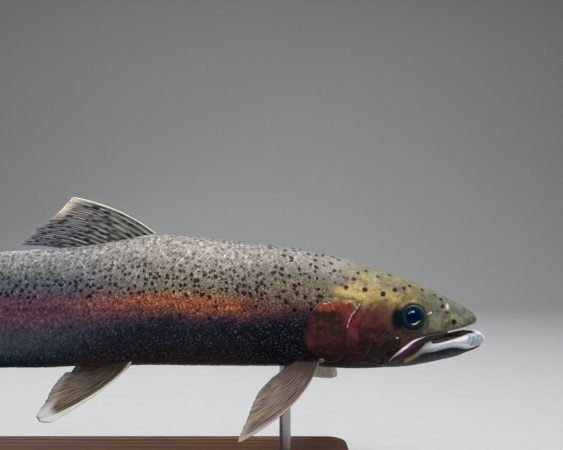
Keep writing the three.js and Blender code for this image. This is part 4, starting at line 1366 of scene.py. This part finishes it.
def buildBoard():
    v = standValues
    length, width, height = (value * mm for value in v["size"])
    board = newPiece("stand_board", bpy.ops.mesh.primitive_cube_add, size=1)
    setPoints(board, pointsOf(board) * (length, width, height) + (0, 0, height / 2))
    upright = board.modifiers.new("corners", "BEVEL")
    board.data.attributes.new("bevel_weight_edge", "FLOAT", "EDGE")
    weights = board.data.attributes["bevel_weight_edge"].data
    for edge, weight in zip(board.data.edges, weights):
        a, b = (board.data.vertices[k].co for k in edge.vertices)
        weight.value = 1.0 if abs(a.z - b.z) > height / 2 else 0.0
    upright.limit_method = "WEIGHT"
    upright.width, upright.segments = v["corner"] * mm, v["cornerSteps"]
    applyModifier(board, upright)
    inEdit(board, lambda: bpy.ops.mesh.select_all(action="DESELECT"))
    for face in board.data.polygons:
        face.select = abs(face.normal.z) > 0.9
    bpy.ops.object.mode_set(mode="EDIT")
    bpy.ops.mesh.select_mode(type="FACE")
    bpy.ops.mesh.bevel(offset=v["edge"] * mm, segments=v["edgeSteps"], affect="EDGES")
    bpy.ops.object.mode_set(mode="OBJECT")
    for face in board.data.polygons:
        face.select = face.normal.z > 0.99
    bpy.ops.object.mode_set(mode="EDIT")
    for thickness, depth in v["groove"]:
        bpy.ops.mesh.inset(thickness=thickness * mm, depth=depth * mm)
    bpy.ops.object.mode_set(mode="OBJECT")
    smoothUpTo(board, 30)
    board.data.materials.append(paintWalnut())
    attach(board, "root")
    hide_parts("stand_base")


def paintWalnut():
    startPaint("walnut_board", Roughness=0.45, Specular_IOR_Level=0.12)
    where = objectPlace()[0]
    wood = stretched(where, (3.0, 26.0, 26.0), Location=(0.3, 0.2, 0))
    bow = grain(wood, 1.2, 4)
    rings = addNode("ShaderNodeTexWave", {"Vector": wood, "Scale": 1.3, "Distortion": 5.0, "Detail": 3.0,
                                          "Detail Scale": 1.4}, "Fac", bands_direction="Y")
    figure = rings * 0.55 + bow * 0.5
    dark = smooth(grain(stretched(where, (60, 1400, 1400)), 1.0, 2), 0.42, 0.3)
    colour = ramp(figure, {0.15: (44, 26, 16), 0.45: (72, 44, 28), 0.7: (98, 63, 40), 0.95: (58, 36, 24)})
    return finishPaint(blend(dark * 0.6, colour, (30, 19, 13)), (figure - dark, 0.0001, 0.35),
                       smooth(bow, 0.3, 0.7, 0.38, 0.5))


def paintSteel():
    startPaint("brushed_steel", Metallic=1.0, Roughness=0.28)
    brushed = grain(stretched(objectPlace()[0], (260, 260, 5200)), 1.0, 3)
    return finishPaint(ramp(brushed, {0.3: (148, 150, 152), 0.7: (196, 197, 198)}), (brushed, 0.00005, 0.4),
                       smooth(brushed, 0.3, 0.7, 0.2, 0.4))


def buildRods():
    v = standValues
    steel = paintSteel()
    top = v["size"][2]
    radius, collar, tall = v["rodRadius"], v["collarRadius"], v["collarHeight"]
    for label, at in zip(("front", "rear"), v["rodAt"]):
        low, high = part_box("stand_rod_" + label)
        centre = ((low.x + high.x) / 2 / mm, (low.y + high.y) / 2 / mm)
        belly = float(sectionAt("body", np.array([at]))[1][0]) + form["snoutZ"]
        profile = [(0, top - 3), (collar, top - 3), (collar, top + tall * 0.45),
                   (collar - 0.5, top + tall * 0.75), (collar - 1.6, top + tall * 0.95),
                   (radius + 2.6, top + tall), (radius + 1.0, top + tall + 1.2), (radius, top + tall + 2.6),
                   (radius, belly - 20), (radius, belly - 9), (radius, belly + 1.5),
                   (radius - 0.4, belly + 2), (0, belly + 2)]
        rod = turnedPiece("stand_rod_" + label + "_steel", profile, 48,
                          lambda x, y, z: np.stack([centre[0] + x, centre[1] + y, z], -1) * mm)
        smoothUpTo(rod, 35)
        rod.data.materials.append(steel)
        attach(rod, "root")
        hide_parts("stand_rod_" + label)


buildBoard()
buildRods()
print("stand done")


# floor, lights and camera
studioValues = {
    "camera": (0.09955, -0.520, 0.1831), "lens": 47.5,
    "floor": (164, 166, 167), "world": (0.62, 0.66, 0.70), "worldStrength": 0.2,
    # the paper in metres: where it starts, its width and length, the run up to its bend, and the bend's
    # run and radius
    "paper": {"front": -1.5, "width": 6, "length": 4.2, "flat": 2.6, "bend": 0.8, "radius": 0.5},
    "lamps": [  # place, aim, size, power, colour
        ("overhead", (0.05, 0.02, 1.15), (0, 0, 0.1), 1.1, 24.0, (1.0, 0.99, 0.98)),
        ("front", (0.5, -0.9, 0.95), (0.05, 0, 0.13), 0.8, 3.4, (1.0, 0.97, 0.93)),
        ("rear", (-0.6, 0.8, 0.9), (0, 0, 0.12), 0.8, 4.0, (0.92, 0.96, 1.0)),
    ],
}


def buildStudio():
    v = studioValues

    def sweep(a, b):  # a paper floor that curves up into a wall
        paper = v["paper"]
        flat, radius = paper["flat"], paper["radius"]
        run = b * paper["length"]
        turn = np.clip(run - flat, 0, paper["bend"]) / paper["bend"] * math.pi / 2
        wall = np.maximum(run - flat - paper["bend"], 0)
        y = np.where(run < flat, run, flat + radius * np.sin(turn)) + paper["front"]
        z = np.where(run < flat, 0, radius * (1 - np.cos(turn)) + wall)
        return np.stack([(a - 0.5) * paper["width"], y, z - 0.0002], -1)
    floor = surfaceGrid("studioFloor", 4, 84, sweep)
    smoothShade(floor)
    startPaint("studio_paper", Roughness=0.85)
    tooth = grain(objectPlace()[0], 60, 3)
    floor.data.materials.append(finishPaint(blend(tooth, v["floor"], tuple(c + 6 for c in v["floor"]))))

    world = bpy.data.worlds.new("studioWorld")
    world.use_nodes = True
    sky = world.node_tree.nodes["Background"].inputs
    sky["Color"].default_value, sky["Strength"].default_value = v["world"] + (1,), v["worldStrength"]
    bpy.context.scene.world = world
    for label, spot, aim, size, power, colour in v["lamps"]:
        lamp = bpy.data.lights.new(label, "AREA")
        lamp.energy, lamp.size, lamp.color = power, size, colour
        holder = addObject(label, lamp)
        holder.location = spot
        holder.rotation_euler = (Vector(aim) - Vector(spot)).to_track_quat("-Z", "Y").to_euler()
    lens = bpy.data.cameras.new("camera")
    lens.sensor_width, lens.lens = 36, v["lens"]
    camera = addObject("camera", lens)
    camera.location, camera.rotation_euler = v["camera"], (math.radians(90), 0, 0)
    bpy.context.scene.camera = camera
    bpy.context.scene.view_settings.view_transform = "Standard"


buildStudio()
print("studio done")
